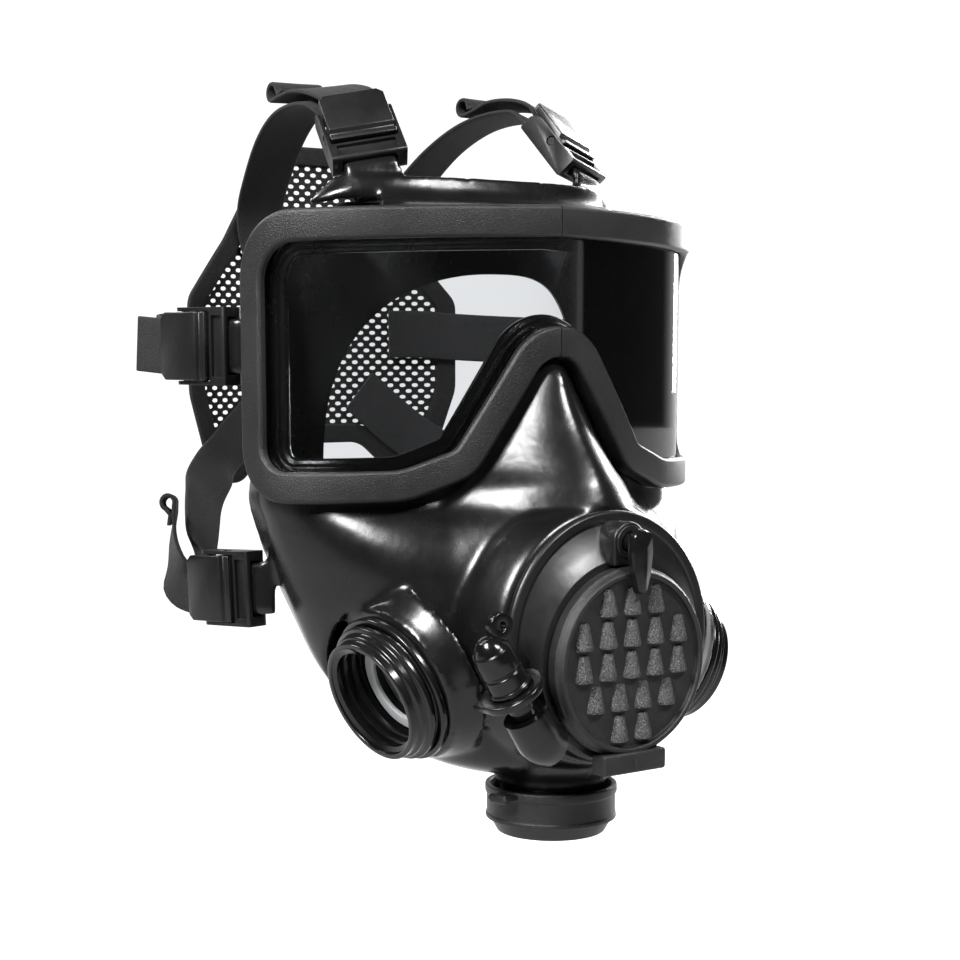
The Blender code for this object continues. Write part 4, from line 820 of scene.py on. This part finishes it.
# ==== ports =========================================================================================
def thread_mesh(place, axis, scale):
    """The helical ridge of the port's inside thread."""
    turn = axis_turn(axis)
    turns = (PORT_LENGTH - 2.0) / THREAD_PITCH
    per_turn = 60
    rings = []
    for i in range(int(turns * per_turn)):
        angle = 2 * math.pi * i / per_turn
        height = -1.0 - THREAD_PITCH * i / per_turn
        ring = []
        for radius, lift in ((THREAD_MAJOR + 0.4, 1.4), (THREAD_MAJOR - 0.5, 0.95), (THREAD_MINOR, 0.4),
                             (THREAD_MINOR, -0.4), (THREAD_MAJOR - 0.5, -0.95), (THREAD_MAJOR + 0.4, -1.4)):
            reach = radius * scale
            here = Vector((reach * math.cos(angle), reach * math.sin(angle), height + lift))
            ring.append(place + turn @ here)
        rings.append(ring)
    return skin("thread", rings)


def widened(profile, scale):
    return [(radius * scale, height) for radius, height in profile]


def build_ports():
    """Each port's threaded ring, valve seat and flap; the cheek ports have a clamp band too."""
    insert = [(NECK_BORE, PORT_BACK), (NECK_BORE, -8.6), (FLANGE_RADIUS, -8.2), (FLANGE_RADIUS, -6.2),
              (LIP_RADIUS + 1.4, -5.8), (LIP_RADIUS + 1.2, -3.4), (LIP_RADIUS, -3.0), (LIP_RADIUS, 0),
              (THREAD_MAJOR, 0), (THREAD_MAJOR, -PORT_LENGTH), (16.0, -PORT_LENGTH), (16.0, PORT_BACK)]
    grip = CLAMP_THROAT + GAP
    clamp = [(grip, -12.2), (CLAMP_RADIUS, -12.2), (CLAMP_RADIUS, -9.4), (grip, -9.4)]
    seat_back = -PORT_LENGTH + GAP
    seat = [(13.5, seat_back), (17.6, seat_back), (17.6, seat_back + 1.8), (13.5, seat_back + 1.8)]
    front = PORT_BACK - GAP
    disc = [(0, front - 0.8), (17.5, front - 0.8), (17.5, front), (0, front)]
    for name, place, axis in port_places():
        scale = CHIN_SCALE if name == "chin" else 1.0
        ring = joined("ring", [turned("ring", widened(insert, scale), place, axis, soft=0.45),
                               thread_mesh(place, axis, scale)])
        finish_piece(f"port_ring_{name}", ring, "gloss_plastic", [f"port_insert_{name}"])
        finish_piece(f"port_seat_{name}", turned("seat", widened(seat, scale), place, axis, soft=0.5),
                     "silicone", [f"port_seat_ring_{name}"])
        finish_piece(f"inhale_flap_{name}", turned("flap", widened(disc, scale), place, axis, soft=0.3),
                     "silicone", [f"inhale_valve_{name}"], body=f"inhale_disc_{name}")
        if name != "chin":
            finish_piece(f"port_band_{name}", turned("band", clamp, place, axis, soft=0.8), "gloss_plastic",
                         [f"port_clamp_{name}"])
    build_chin_cap()


def rounded_box(low, high, radius, segments=3):
    """A box between two corners with all its edges rounded."""
    work = bmesh.new()
    bmesh.ops.create_cube(work, size=1.0)
    size = Vector(high) - Vector(low)
    middle = (Vector(high) + Vector(low)) / 2
    for vertex in work.verts:
        vertex.co = Vector(a * b + c for a, b, c in zip(vertex.co, size, middle)) * MM
    bmesh.ops.bevel(work, geom=work.edges[:], offset=radius * MM, segments=segments, profile=0.5,
                    affect="EDGES")
    mesh = bpy.data.meshes.new("block")
    work.to_mesh(mesh)
    work.free()
    return mesh


def placed(mesh, matrix):
    mesh.transform(matrix)
    return mesh


def moved(place, angle=0.0, axis="Z"):
    """The matrix that turns by so many degrees about an axis and then moves to a place."""
    return Matrix.Translation(Vector(place) * MM) @ Matrix.Rotation(math.radians(angle), 4, axis)


def build_chin_cap():
    place, axis = CHIN_PORT, DOWN
    inner = FLANGE_RADIUS * CHIN_SCALE + GAP
    outer = inner + 1.5
    top, bottom = -12.0, 5.8
    profile = [(0, GAP), (inner, GAP), (inner, top), (outer + 0.5, top), (outer + 0.5, top + 3.0),
               (outer - 0.1, top + 3.6), (outer - 0.1, -1.2), (outer + 0.3, -0.8), (outer + 0.3, 0.4),
               (outer - 0.1, 0.8), (outer - 0.5, bottom - 6.5), (outer - 4.0, bottom), (outer - 7.0, bottom),
               (outer - 7.6, bottom - 0.5), (0, bottom - 0.5)]
    cap = turned("cap", profile, place, axis, soft=0.7)
    tab = rounded_box((-outer - 6.5, -4.5, -2.6), (-outer + 1.0, 4.5, -0.6), 0.9)
    bump = rounded_box((-outer - 6.5, -4.0, -3.4), (-outer - 4.4, 4.0, 0.0), 0.9)
    turn = moved((place.x, place.y, place.z - top), 12)
    cap = joined("chin_cap_skin", [cap, placed(tab, turn), placed(bump, turn)])
    finish_piece("chin_cap_skin", cap, "cover_rubber", ["chin_cap"], body="chin_cap_body")


# ==== exhalation module =============================================================================
def circle(radius, y, z, count=128):
    return [Vector((radius * math.cos(a), y, z + radius * math.sin(a)))
            for a in (2 * math.pi * i / count for i in range(count))]


def prism(outline, half_width):
    """An outline in the YZ plane, in millimetres, extruded to both sides along X."""
    return skin("prism", [[(side * half_width, p[0], p[1]) for p in outline] for side in (-1, 1)])


def build_module():
    """The exhalation module: rim, dome, the boss for the drink spindle, and the bores for its valve."""
    steps = ((MODULE_RADIUS, MODULE_FRONT + MODULE_RIM, MODULE_Z),
             (MODULE_RADIUS + 0.3, MODULE_FRONT + 1, MODULE_Z),
             (MODULE_RADIUS - 0.6, MODULE_FRONT, MODULE_Z), (MODULE_RADIUS - 3.4, MODULE_FRONT, MODULE_Z),
             (MODULE_RADIUS - 4.2, MODULE_FRONT + 0.5, MODULE_Z),
             (COVER_RADIUS + 5.2, MODULE_FRONT - 3.0, COVER_Z + 2),
             (COVER_RADIUS + 4.0, MODULE_FRONT - 3.7, COVER_Z + 2),
             (COVER_RADIUS + 2.2, COVER_BACK + GAP, COVER_Z), (COVER_RADIUS - 3, COVER_BACK + GAP, COVER_Z))
    housing = bevelled(skin("housing", [circle(*step) for step in steps]), 0.35, 3)
    spigot = cylinder(BORE_RADIUS - 2 * GAP, -SPIGOT_BACK, -MODULE_FRONT - 1, MODULE_MIDDLE, FORWARD)
    foot = COVER_Z + COVER_RADIUS + GAP - SPINDLE_Z
    arch = [tuple(p) for p in arc((0, 0), 7.0, 0, 180, 25)] + [(-7.0, foot), (7.0, foot)]
    boss = bevelled(prism(arch, 6.0), 0.7, 3)
    boss.transform(moved((0, -89.5, SPINDLE_Z), 90))
    ring = turned("ring", [(3.9, 94), (5.9, 94), (5.9, 96.0), (3.9, 96.0)], SPINDLE_MIDDLE, FORWARD)
    housing = carve(housing, [spigot, boss, ring], "UNION")
    housing = carve(housing, [cylinder(28.0, 60, 85.5, COVER_MIDDLE, FORWARD),
                              cylinder(VALVE_BORE, 50, 100, COVER_MIDDLE, FORWARD),
                              cylinder(SPINDLE_RADIUS + GAP, 40, 120, SPINDLE_MIDDLE, FORWARD)])
    finish_piece("module_skin", housing, "module_plastic", ["module_housing"])
    build_exhale_valve()
    build_cover()
    build_drink_lever()


def build_exhale_valve():
    outer, seat_front = VALVE_BORE - GAP, 90.3
    seat = turned("seat", [(16.5, 86.5), (outer, 86.5), (outer, 89.5), (19.0, 89.5), (18.0, seat_front),
                           (16.5, seat_front)], COVER_MIDDLE, FORWARD, soft=0.3)
    spokes = [placed(rounded_box((-17.2, -88.6, -1.3), (17.2, -86.9, 1.3), 0.4),
                     moved(COVER_MIDDLE, angle, "Y")) for angle in (45, 135)]
    finish_piece("valve_seat_skin", joined("valve_seat_skin", [seat] + spokes), "gloss_plastic",
                 ["exhale_valve_seat"])
    front = seat_front + GAP
    disc = turned("disc", [(0, front), (19.0, front), (19.0, front + 0.9), (0, front + 1.2)], COVER_MIDDLE,
                  FORWARD, soft=0.3)
    finish_piece("exhale_flap", disc, "silicone", ["exhale_valve_disc"], body="exhale_disc")


STUD_ROWS = ((-1, 0, 1), (-2, -1, 0, 1, 2), (-2, -1, 0, 1, 2), (-1.5, -0.5, 0.5, 1.5), (-0.5, 0.5))
STUD_PITCH, STUD_RADIUS, STUD_HEIGHT, STUD_LIFT = (10.6, 11.0), 4.2, 9.4, -0.5


def stud_mesh(x, z, plate_y):
    """Half a cone lying on the plate, its wide end down, with rounded edges."""
    rings = []
    for share in (0, 0.08, 0.2, 0.5, 0.8, 0.93, 1.0):
        radius = STUD_RADIUS * (1 - 0.5 * share)
        if share in (0, 1.0):
            radius -= 0.5
        height = STUD_HEIGHT * (share - 0.5)
        rings.append([Vector((x + radius * math.cos(a), plate_y + 0.6 - 0.85 * radius * math.sin(a),
                              COVER_Z + z + height)) for a in (math.pi * i / 16 for i in range(17))])
    return skin("stud", rings)


def build_cover():
    front, back = -COVER_FRONT, -COVER_BACK
    face = front - 2.0
    cover = turned("cover", [
        (0, face - 1.8), (COVER_LIP - 0.5, face - 1.8), (COVER_RADIUS - 2.4, back + 1.2),
        (COVER_RADIUS - 2.4, back), (COVER_RADIUS, back), (COVER_RADIUS, front - 2.6),
        (COVER_RADIUS - 0.5, front - 2.2), (COVER_RADIUS - 0.9, front - 1.7), (COVER_LIP + 2.0, front - 0.3),
        (COVER_LIP + 1.6, front), (COVER_LIP + 0.6, front), (COVER_LIP + 0.1, front - 0.4), (COVER_LIP, face),
        (0, face)], COVER_MIDDLE, FORWARD, steps=160, soft=0.3)
    studs = []
    for row, columns in enumerate(STUD_ROWS):
        for column in columns:
            studs.append(stud_mesh(column * STUD_PITCH[0], (2 - row) * STUD_PITCH[1] + STUD_LIFT, -face))
    tab = rounded_box((-14, COVER_FRONT - 1.0, COVER_Z - 38.5), (14, COVER_BACK, COVER_Z - 31.0), 1.1, 4)
    tick = rounded_box((-0.5, COVER_FRONT - 1.3, COVER_Z - 37.5), (0.5, COVER_FRONT, COVER_Z - 33.5), 0.3)
    finish_piece("cover_skin", joined("cover_skin", [cover, tab, tick]), "cover_rubber", ["front_cover"])
    finish_piece("cover_studs", joined("cover_studs", studs), "stud_grain")


def round_tube(points, radius, ends, count=32):
    """A round rod along points, as rings square to it, its end edges rounded."""
    rings = []
    across = None
    for i, here in enumerate(points):
        along = (points[min(i + 1, len(points) - 1)] - points[max(i - 1, 0)]).normalized()
        guess = UP if across is None else across
        across = (guess - along * guess.dot(along)).normalized()
        rise = along.cross(across)
        rings.append([here + across * radius * math.cos(a) + rise * radius * math.sin(a)
                      for a in (2 * math.pi * k / count for k in range(count))])
    return bevelled(skin("rod", rings), ends, 3)


def build_drink_lever():
    """The spindle through the module, the paddle on its front and the mouthpiece on its rear end."""
    tip = -SPINDLE_FRONT - 5.0
    spindle = turned("spindle", [(0, 61), (SPINDLE_RADIUS, 61), (SPINDLE_RADIUS, tip - 1),
                                 (SPINDLE_RADIUS - 0.8, tip), (0, tip)], SPINDLE_MIDDLE, FORWARD)
    finish_piece("spindle_skin", spindle, "gloss_plastic", ["drink_spindle"], body="drink_drive")
    half, length = 5.0, 22.5
    right = [(half - 3, half), (half - 0.8, half - 1.6), (half, -2), (half - 0.9, -length * 0.45),
             (1.9, -length + half)]
    left = [(-x, y) for x, y in right[::-1]]
    outline = soften(left[2:] + right + left[:2], 1.6, 5)
    rings = []
    for depth, scale in ((GAP, 0.84), (0.8, 0.96), (1.3, 1.0), (3.0, 0.93), (3.5, 0.88), (4.7, 0.30),
                         (5.0, 0.12)):
        shrink = 1 - (1 - scale) * 0.55
        rings.append([Vector((p.x * scale, -tip - depth, SPINDLE_Z + (p.y + 6) * shrink - 6))
                      for p in outline])
    finish_piece("paddle", skin("paddle", rings), "gloss_plastic", ["drink_lever"], body="drink_drive")
    elbow = smooth_curve([(0, -60.5, SPINDLE_Z), (0, -56, SPINDLE_Z), (4, -51.5, SPINDLE_Z),
                          (10, -50, SPINDLE_Z), (15, -50, SPINDLE_Z)], 8)
    finish_piece("mouth_tube", round_tube(elbow, 3.0, 0.7), "rubber", ["drink_mouthpiece"],
                 body="drink_drive")


def build_coupling():
    """The drinking coupling: its cap, body, collar and the start of its hose."""
    place, axis, radius = COUPLING_TOP, COUPLING_AXIS, 7.2
    profile = [(0, 0), (2.6, 0.3), (4.2, 1.8), (5.2, 3.2), (5.9, 4.6), (6.4, 4.8), (radius, 8.5),
               (radius, 12.2), (radius - 0.5, 12.6), (radius - 0.5, 13.4), (radius, 13.8), (radius, 18.5),
               (radius + 0.8, 19.2), (radius + 0.8, 20.5), (5.2, 20.5), (5.2, 9.5), (0, 9.5)]
    cap = turned("cap", profile, place, axis, soft=0.6)
    lug_place = place + Vector((6.8, 0.5, 3.6))
    lug = turned("lug", [(1.7, -1.7), (4.8, -1.7), (4.8, 1.7), (1.7, 1.7)], lug_place, FORWARD, 48, 0.5)
    arm = placed(rounded_box((-3.0, -1.5, -8.0), (2.4, 1.5, -3.2), 0.5),
                 moved(place + Vector((5.2, 0.5, 1.0)), -35, "Y"))
    finish_piece("coupling_cap_skin", joined("coupling_cap_skin", [cap, lug, arm]), "gloss_plastic",
                 ["coupling_cap"], body="coupling_cap_body")
    body = turned("body", [(0, 10.2), (4.7, 10.2), (4.7, 24.0), (5.0, 24.3), (5.0, 25.3), (4.7, 25.6),
                           (4.7, 31.6), (0, 31.6)], place, axis)
    finish_piece("coupling_core", body, "gloss_plastic", ["coupling_body"])
    by_cover, by_module = COVER_RADIUS + GAP + 2.2, MODULE_RADIUS + 1.2
    room = skin("room", [circle(by_cover, COVER_BACK - 14, COVER_Z),
                         circle(by_cover, COVER_BACK + 0.6, COVER_Z),
                         circle(by_module, MODULE_FRONT - 0.2, MODULE_Z),
                         circle(by_module, MODULE_FRONT + 12, MODULE_Z)])
    holder = turned("holder", [(5.05, 20.9), (11.4, 20.9), (11.4, 23.6), (5.05, 23.6)], place, axis, soft=0.7)
    bracket = placed(rounded_box((7.0, -1.2, -1.2), (11.3, 9.0, 1.2), 0.4),
                     Matrix.Translation((place + axis * 22.25) * MM) @ axis_turn(axis).to_4x4())
    holder = carve(carve(holder, [bracket], "UNION"), [room])
    finish_piece("coupling_collar", holder, "gloss_plastic", ["coupling_holder"])
    path = smooth_curve([place + axis * 32.0, place + axis * 38.0,
                         place + axis * 43.5 + Vector((0.6, 0.6, 0)),
                         place + axis * 47.0 + Vector((3.2, 2.0, 0.8))], 8)
    hose = carve(round_tube(path, 8.0, 2.2, 64), [room])
    finish_piece("hose_sleeve", hose, "rubber", ["drink_hose"])


# ==== nose cup ======================================================================================
def build_nose_cup():
    """The inner cup, from the module's spigot back round the nose and mouth, with its two valves."""
    count = 96
    edge_top, edge_low, edge_half = 57.0, -66.0, 37.0
    sleeve = BORE_RADIUS - 2 * GAP
    outer = [circle(sleeve, SPIGOT_BACK + GAP, MODULE_Z, count)]
    for share in np.linspace(0, 1, 17):
        ring = []
        for i in range(count):
            a = 2 * math.pi * i / count
            c, s = math.cos(a), math.sin(a)
            start = Vector((sleeve * c, SLEEVE_BACK, MODULE_Z + sleeve * s))
            if s > 0:
                end = Vector((edge_half * c * (1 - 0.42 * s), -24, -14 + (edge_top + 14) * s ** 1.15))
            else:
                end = Vector((edge_half * c, -24 - 6 * s * s, -14 + (-14 - edge_low) * s))
            bulge = math.sin(math.pi * share)
            ring.append(start.lerp(end, share) + Vector((2 * c * bulge, -2 * bulge, 0)))
        outer.append(ring)
    inner = []
    for ring in outer[::-1]:
        middle = sum(ring, Vector()) / count
        inner.append([p + (Vector((middle.x, p.y, middle.z)) - p).normalized() * 2.2 for p in ring])
    cup = bevelled(skin("cup", outer + inner, loop=True), 0.8, 3)
    for name, side in SIDES:
        place = Vector((side * 33.5, -46, -10))
        axis = Vector((side * 0.85, -0.42, 0.30)).normalized()
        seat = turned("seat", [(0, -5), (9.5, -5), (9.5, 1.5), (0, 1.5)], place, axis, 64, 0.7)
        cup = carve(carve(cup, [seat], "UNION"), [cylinder(6.5, -12, 8, place, axis)])
        flap = turned("flap", [(0, -6.15), (8.6, -6.15), (8.6, -5.35), (0, -5.35)], place, axis, 64, 0.3)
        finish_piece(f"cup_flap_{name}", flap, "silicone", [f"cup_valve_{name}"], body=f"cup_disc_{name}")
    finish_piece("nose_cup_skin", cup, "rubber", ["nose_cup"])


# ==== harness =======================================================================================
BUCKLE_HALF, RAIL_WALL, BUCKLE_LENGTH = 13.7, 1.3, 27.0
PIVOT, PIN_RADIUS, HEEL_RADIUS, LEVER_END, LEVER_PLATE = (13.0, 1.5), 1.5, 4.6, 31.0, (3.7, 6.3)
BAR_ALONG, BAR_SIZE, STRAP_IN, STRAP_OUT = 24.2, 2.2, -3.1, 1.7


def local_matrix(place, along, normal):
    x, y, z = buckle_axes(along, normal)
    return Matrix.Translation(place * MM) @ Matrix((x, y, z)).transposed().to_4x4()


def sharp_box(low, high):
    corners = ((low[1], low[2]), (high[1], low[2]), (high[1], high[2]), (low[1], high[2]))
    return skin("box", [[Vector((x, y, z)) for y, z in corners] for x in (low[0], high[0])])


def buckle_body():
    inner = BUCKLE_HALF - RAIL_WALL
    side = soften([(0, -4.6), (BUCKLE_LENGTH, -4.6), (BUCKLE_LENGTH, 1.4), (23.5, 4.2), (0, 4.2)], 1.2, 4)
    body = prism(side, BUCKLE_HALF)
    pocket, half_pocket = TAB_HALF + GAP, TAB_THICKNESS / 2 + GAP
    middle = (STRAP_IN + STRAP_OUT) / 2
    body = carve(body, [
        sharp_box((-inner, 7.6, -9), (inner, BUCKLE_LENGTH + 5, 9)),
        sharp_box((-pocket, -4, -half_pocket), (pocket, TAB_IN_BUCKLE + GAP, half_pocket)),
        sharp_box((-inner + 1.6, 1.6, 2.7), (inner - 1.6, 6.6, 9))])
    bar = sharp_box((-BUCKLE_HALF + 0.4, BAR_ALONG - BAR_SIZE / 2, middle - BAR_SIZE / 2),
                    (BUCKLE_HALF - 0.4, BAR_ALONG + BAR_SIZE / 2, middle + BAR_SIZE / 2))
    body = carve(body, [bar], "UNION")
    bore = cylinder(PIN_RADIUS + GAP, -20, 20, (0, *PIVOT), (1, 0, 0))
    return bevelled(carve(body, [bore]), 0.45, 3)


def buckle_lever():
    """The cam lever about its pin: heel with a ridge, a groove, and the flat plate."""
    low, high = LEVER_PLATE[0] - PIVOT[1], LEVER_PLATE[1] - PIVOT[1]
    end = LEVER_END - PIVOT[0]
    outline = [tuple(p) for p in arc((0, 0), HEEL_RADIUS, 150, 330, 21)]
    outline += [(4.2, low), (end - 0.5, low), (end, low + 0.8), (end, high - 0.4), (end - 0.7, high),
                (-0.2, high), (-0.8, high - 1.7), (-1.7, high - 1.7), (-2.2, high - 0.7), (-4.5, high - 0.9)]
    half = BUCKLE_HALF - RAIL_WALL - GAP
    corners = [placed(sharp_box((-3, -3, -9), (3, 3, 9)), moved((side * (half + 0.9), end + 0.9, 0), 45))
               for side in (-1, 1)]
    lever = bevelled(carve(prism(outline[::-1], half), corners), 0.5, 3)
    pin = cylinder(PIN_RADIUS, -BUCKLE_HALF + 0.3, BUCKLE_HALF - 0.3, (0, 0, 0), (1, 0, 0))
    return joined("lever", [lever, pin])


def on_pad(x, z, out):
    """A point of the head pad, so far in front of its middle surface."""
    return Vector((x, PAD_Y - PAD_SAG * (x / PAD_HALF_WIDTH) ** 2 - out, z))


ON_PAD = BINDING_THICKNESS / 2 + 0.8 + GAP + 0.9


def strap_routes(side):
    """Where each strap starts on the pad, how it runs to its buckle, and how its free end lies."""
    def v(x, y, z):
        return Vector((side * x, y, z))

    def pad(x, z):
        return on_pad(side * x, z, ON_PAD)

    def level(x):
        return v(1, -2 * PAD_SAG * x / PAD_HALF_WIDTH ** 2, 0)

    def slant(x):
        return level(x) * 0.62 + UP * 0.78

    top = [(pad(25, 92), level(25)), (pad(28, 103), level(28)), (v(32, 99, 116), v(1, 0.05, 0)),
           (v(35, 88, 127), v(1, 0.1, 0)), (v(38.5, 72, 139.5), v(1, 0.15, 0)),
           (v(41.5, 55, 147.5), v(0.98, 0.2, -0.05)), (v(43.5, 38, 150.5), v(0.96, 0.25, -0.1)),
           (v(44.5, 23, 149.5), v(0.93, 0.3, -0.15))]
    top_tail = [(v(44.5, 24, 154.2), v(0.93, 0.3, -0.15)), (v(44, 36, 155.2), v(0.96, 0.25, -0.1)),
                (v(43.5, 47, 153.4), v(0.98, 0.15, 0))]
    temple = [(pad(34, 66), UP), (pad(48, 66), UP), (pad(61, 65), UP),
              (v(77, 89, 64), UP), (v(92, 72, 63), UP), (v(100, 54, 62), UP)]
    temple_tail = [(v(108.6, 47, 61.5), UP)]
    lower = [(pad(20, 42), slant(20)), (pad(33, 31), slant(33)), (pad(43, 23), slant(43)),
             (v(51, 99, 17), slant(51)), (v(58, 94, 11.5), v(0.66, 0.15, 0.72)),
             (v(66.5, 86, 5), v(0.55, 0.3, 0.78)), (v(73.5, 75, -2), v(0.4, 0.35, 0.85)),
             (v(80.5, 63.5, -11), v(0.3, 0.3, 0.9)), (v(88.3, 51, -22), v(0.06, 0.06, 0.99))]
    lower_tail = [(v(98.5, 46, -24.5), UP), (v(99.5, 49, -13), v(0.3, -0.8, 0.5)),
                  (v(99, 49, -1), v(0.5, -0.85, 0.1))]
    return {"top": (top, top_tail), "temple": (temple, temple_tail), "lower": (lower, lower_tail)}


def smooth_stations(places, per_span=6):
    middles = smooth_curve([p for p, _ in places], per_span)
    sides = smooth_curve([s for _, s in places], per_span)
    return list(zip(middles, sides))


def ribbon(stations):
    """A webbing strap through stations of (middle, across), its two edges rounded."""
    half, thick = STRAP_WIDTH / 2, STRAP_THICKNESS / 2
    outline = [(-half + 0.15, -thick * 0.75), (-half + 0.7, -thick)]
    outline += [(-half + 0.7 + (STRAP_WIDTH - 1.4) * i / 8, -thick) for i in range(1, 9)]
    outline += [(half - 0.15, -thick * 0.75), (half, 0), (half - 0.15, thick * 0.75), (half - 0.7, thick)]
    outline += [(half - 0.7 - (STRAP_WIDTH - 1.4) * i / 8, thick) for i in range(1, 9)]
    outline += [(-half + 0.15, thick * 0.75), (-half, 0)]
    rings = []
    for i, (here, across) in enumerate(stations):
        along = (stations[min(i + 1, len(stations) - 1)][0] - stations[max(i - 1, 0)][0]).normalized()
        wide = (across - along * across.dot(along)).normalized()
        up = wide.cross(along)
        rings.append([here + wide * a + up * b for a, b in outline])
    return skin("ribbon", rings)


def hem_loop(end, along, across, height, outward):
    """The strap's last stretch, rolled back on itself into a teardrop loop."""
    up = outward.normalized()
    radius = height / 2 - STRAP_THICKNESS / 2
    centre = end + along * 4.2 + up * radius
    stations = []
    for angle in np.linspace(-90, 150, 17):
        a = math.radians(angle)
        stations.append((centre + along * radius * math.cos(a) * 1.15 + up * radius * math.sin(a), across))
    stations.append((end + along * 0.4 + up * STRAP_THICKNESS, across))
    stations.append((end - along * 3.5 + up * STRAP_THICKNESS * 1.02, across))
    return stations


def strap_stations(kind, side, place, along, normal):
    x, y, z = buckle_axes(along, normal)
    main, tail = strap_routes(side)[kind]
    across = x if x.dot(main[-1][1]) > 0 else -x
    enter = place + y * (BUCKLE_LENGTH + 1) + z * STRAP_IN
    leave = place + y * (BUCKLE_LENGTH + 1) + z * STRAP_OUT
    stations = smooth_stations(main + [(enter, across)])
    radius = (STRAP_OUT - STRAP_IN) / 2
    centre = place + y * (BAR_ALONG - 0.4) + z * ((STRAP_IN + STRAP_OUT) / 2)
    for angle in np.linspace(-90, -270, 13):
        a = math.radians(angle)
        stations.append((centre + y * radius * math.cos(a) + z * radius * math.sin(a), across))
    clear = place + y * (LEVER_END + 2.5) + z * (STRAP_OUT + 0.3)
    stations += smooth_stations([(leave, across), (clear, across)]
                                + [(p, s if s.dot(across) > 0 else -s) for p, s in tail])
    end, last_across = stations[-1]
    step = (end - stations[-2][0]).normalized()
    wide = (last_across - step * last_across.dot(step)).normalized()
    up = wide.cross(step)
    if up.dot(z) < 0:
        up = -up
    if kind == "temple":
        return stations + [(end + step * 3.0, last_across), (end + step * 6.0, last_across)]
    return stations + hem_loop(end, step, last_across, {"top": 7.5, "lower": 6.0}[kind], up)


def build_harness():
    """Each buckle with its lever and its strap."""
    for name, place, along, normal in buckle_places():
        kind, _, side_name = name.partition("_")
        frame_matrix = local_matrix(place, along, normal)
        body = placed(buckle_body(), frame_matrix)
        finish_piece(f"buckle_skin_{name}", body, "buckle_nylon", [f"buckle_{name}"])
        pivot = frame_matrix @ moved((0, *PIVOT))
        finish_piece(f"lever_skin_{name}", placed(buckle_lever(), pivot), "buckle_nylon", [f"lever_{name}"],
                     body=f"lever_{name}_body")
        side = dict(SIDES)[side_name]
        strap = ribbon(strap_stations(kind, side, place, along, normal))
        finish_piece(f"webbing_{name}", strap, "webbing", [f"strap_{name}"], sharp=60)


def pad_outline():
    """Half the pad's outline, from the top middle to the bottom middle."""
    return filleted([(0.0, 143.0), (20.0, 143.0, 9.0), (45.0, 104.0, 25.0), (PAD_HALF_WIDTH, 80.0, 10.0),
                     (PAD_HALF_WIDTH, 42.0, 20.0), (53.0, 5.0, 9.0), (38.0, 5.0, 9.0), (22.0, 20.0, 12.0),
                     (0.0, 20.0)])


def inside(outline, x, z):
    hit = False
    for a, b in zip(outline, outline[1:] + outline[:1]):
        if (a.y > z) != (b.y > z) and x < (b.x - a.x) * (z - a.y) / (b.y - a.y) + a.x:
            hit = not hit
    return hit


# the knit: half the pitch of the holes along a row, the strand between rows, and the hole's height;
# and how much of the outline its open cloth covers
HOLE_WIDTH, STRAND, HOLE_HEIGHT, KNIT_COVER = 2.75, 0.75, 1.75, 0.62


def build_pad_mesh(outline):
    """Open knit: rows of oval holes between fine strands, each row half a pitch from the next."""
    columns = int(2 * PAD_HALF_WIDTH / HOLE_WIDTH) + 2
    heights = [5.0]
    while heights[-1] < 143:
        heights += [heights[-1] + STRAND, heights[-1] + STRAND + HOLE_HEIGHT]
    xs = [-PAD_HALF_WIDTH + (i - 0.5) * HOLE_WIDTH for i in range(columns)]
    points = [on_pad(x, z, 0.0) for z in heights for x in xs]
    faces = []
    for r in range(len(heights) - 1):
        for c in range(len(xs) - 1):
            hole = r % 2 == 1 and (c + (r // 2) % 2) % 2 == 0
            middle_x, middle_z = (xs[c] + xs[c + 1]) / 2, (heights[r] + heights[r + 1]) / 2
            if hole or not inside(outline, middle_x, middle_z):
                continue
            a, b = r * len(xs) + c, (r + 1) * len(xs) + c
            faces.append((a, a + 1, b + 1, b))
    mesh = bpy.data.meshes.new("knit")
    mesh.from_pydata([tuple(c * MM for c in p) for p in points], [], faces)
    work = bmesh.new()
    work.from_mesh(mesh)
    bmesh.ops.delete(work, geom=[v for v in work.verts if not v.link_faces], context="VERTS")
    bmesh.ops.recalc_face_normals(work, faces=work.faces)
    work.to_mesh(mesh)
    work.free()
    return evaluated(mesh, [("SOLIDIFY", {"thickness": 1.1 * MM, "offset": 0}),
                            ("SUBSURF", {"levels": 1, "render_levels": 1})])


def build_pad():
    """The head pad: open knit held by a padded binding."""
    chain = pad_outline()
    inner = inset(chain, BINDING_WIDTH / 2)
    outline = inner + [Vector((-p.x, p.y)) for p in inner[-2:0:-1]]
    knit = finish_piece("pad_knit", build_pad_mesh(outline), "mesh_fabric", ["head_pad"], sharp=60)
    thick = BINDING_THICKNESS / 2
    profile = soften([(0, -thick), (0, thick), (BINDING_WIDTH, thick), (BINDING_WIDTH, -thick)], 1.5, 4)
    binding = swept("binding", chain, 1, profile, on_pad, loop=True)
    rim = finish_piece("pad_rim", binding, "mesh_fabric", ["pad_binding"], sharp=60)


# ==== put together ==================================================================================
def write_sizes():
    """Works out the box, in metres, of every piece that shows; nothing is written or returned."""
    low, high = [math.inf] * 3, [-math.inf] * 3
    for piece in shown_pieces():
        for corner in piece.bound_box:
            point = piece.matrix_world @ Vector(corner)
            low = [min(a, b) for a, b in zip(low, point)]
            high = [max(a, b) for a, b in zip(high, point)]


set_camera()
set_light()
add_floor()
build_visor()
build_facepiece()
build_face_seal()
build_ports()
build_module()
build_coupling()
build_nose_cup()
build_harness()
build_pad()
bpy.context.view_layer.update()
write_sizes()
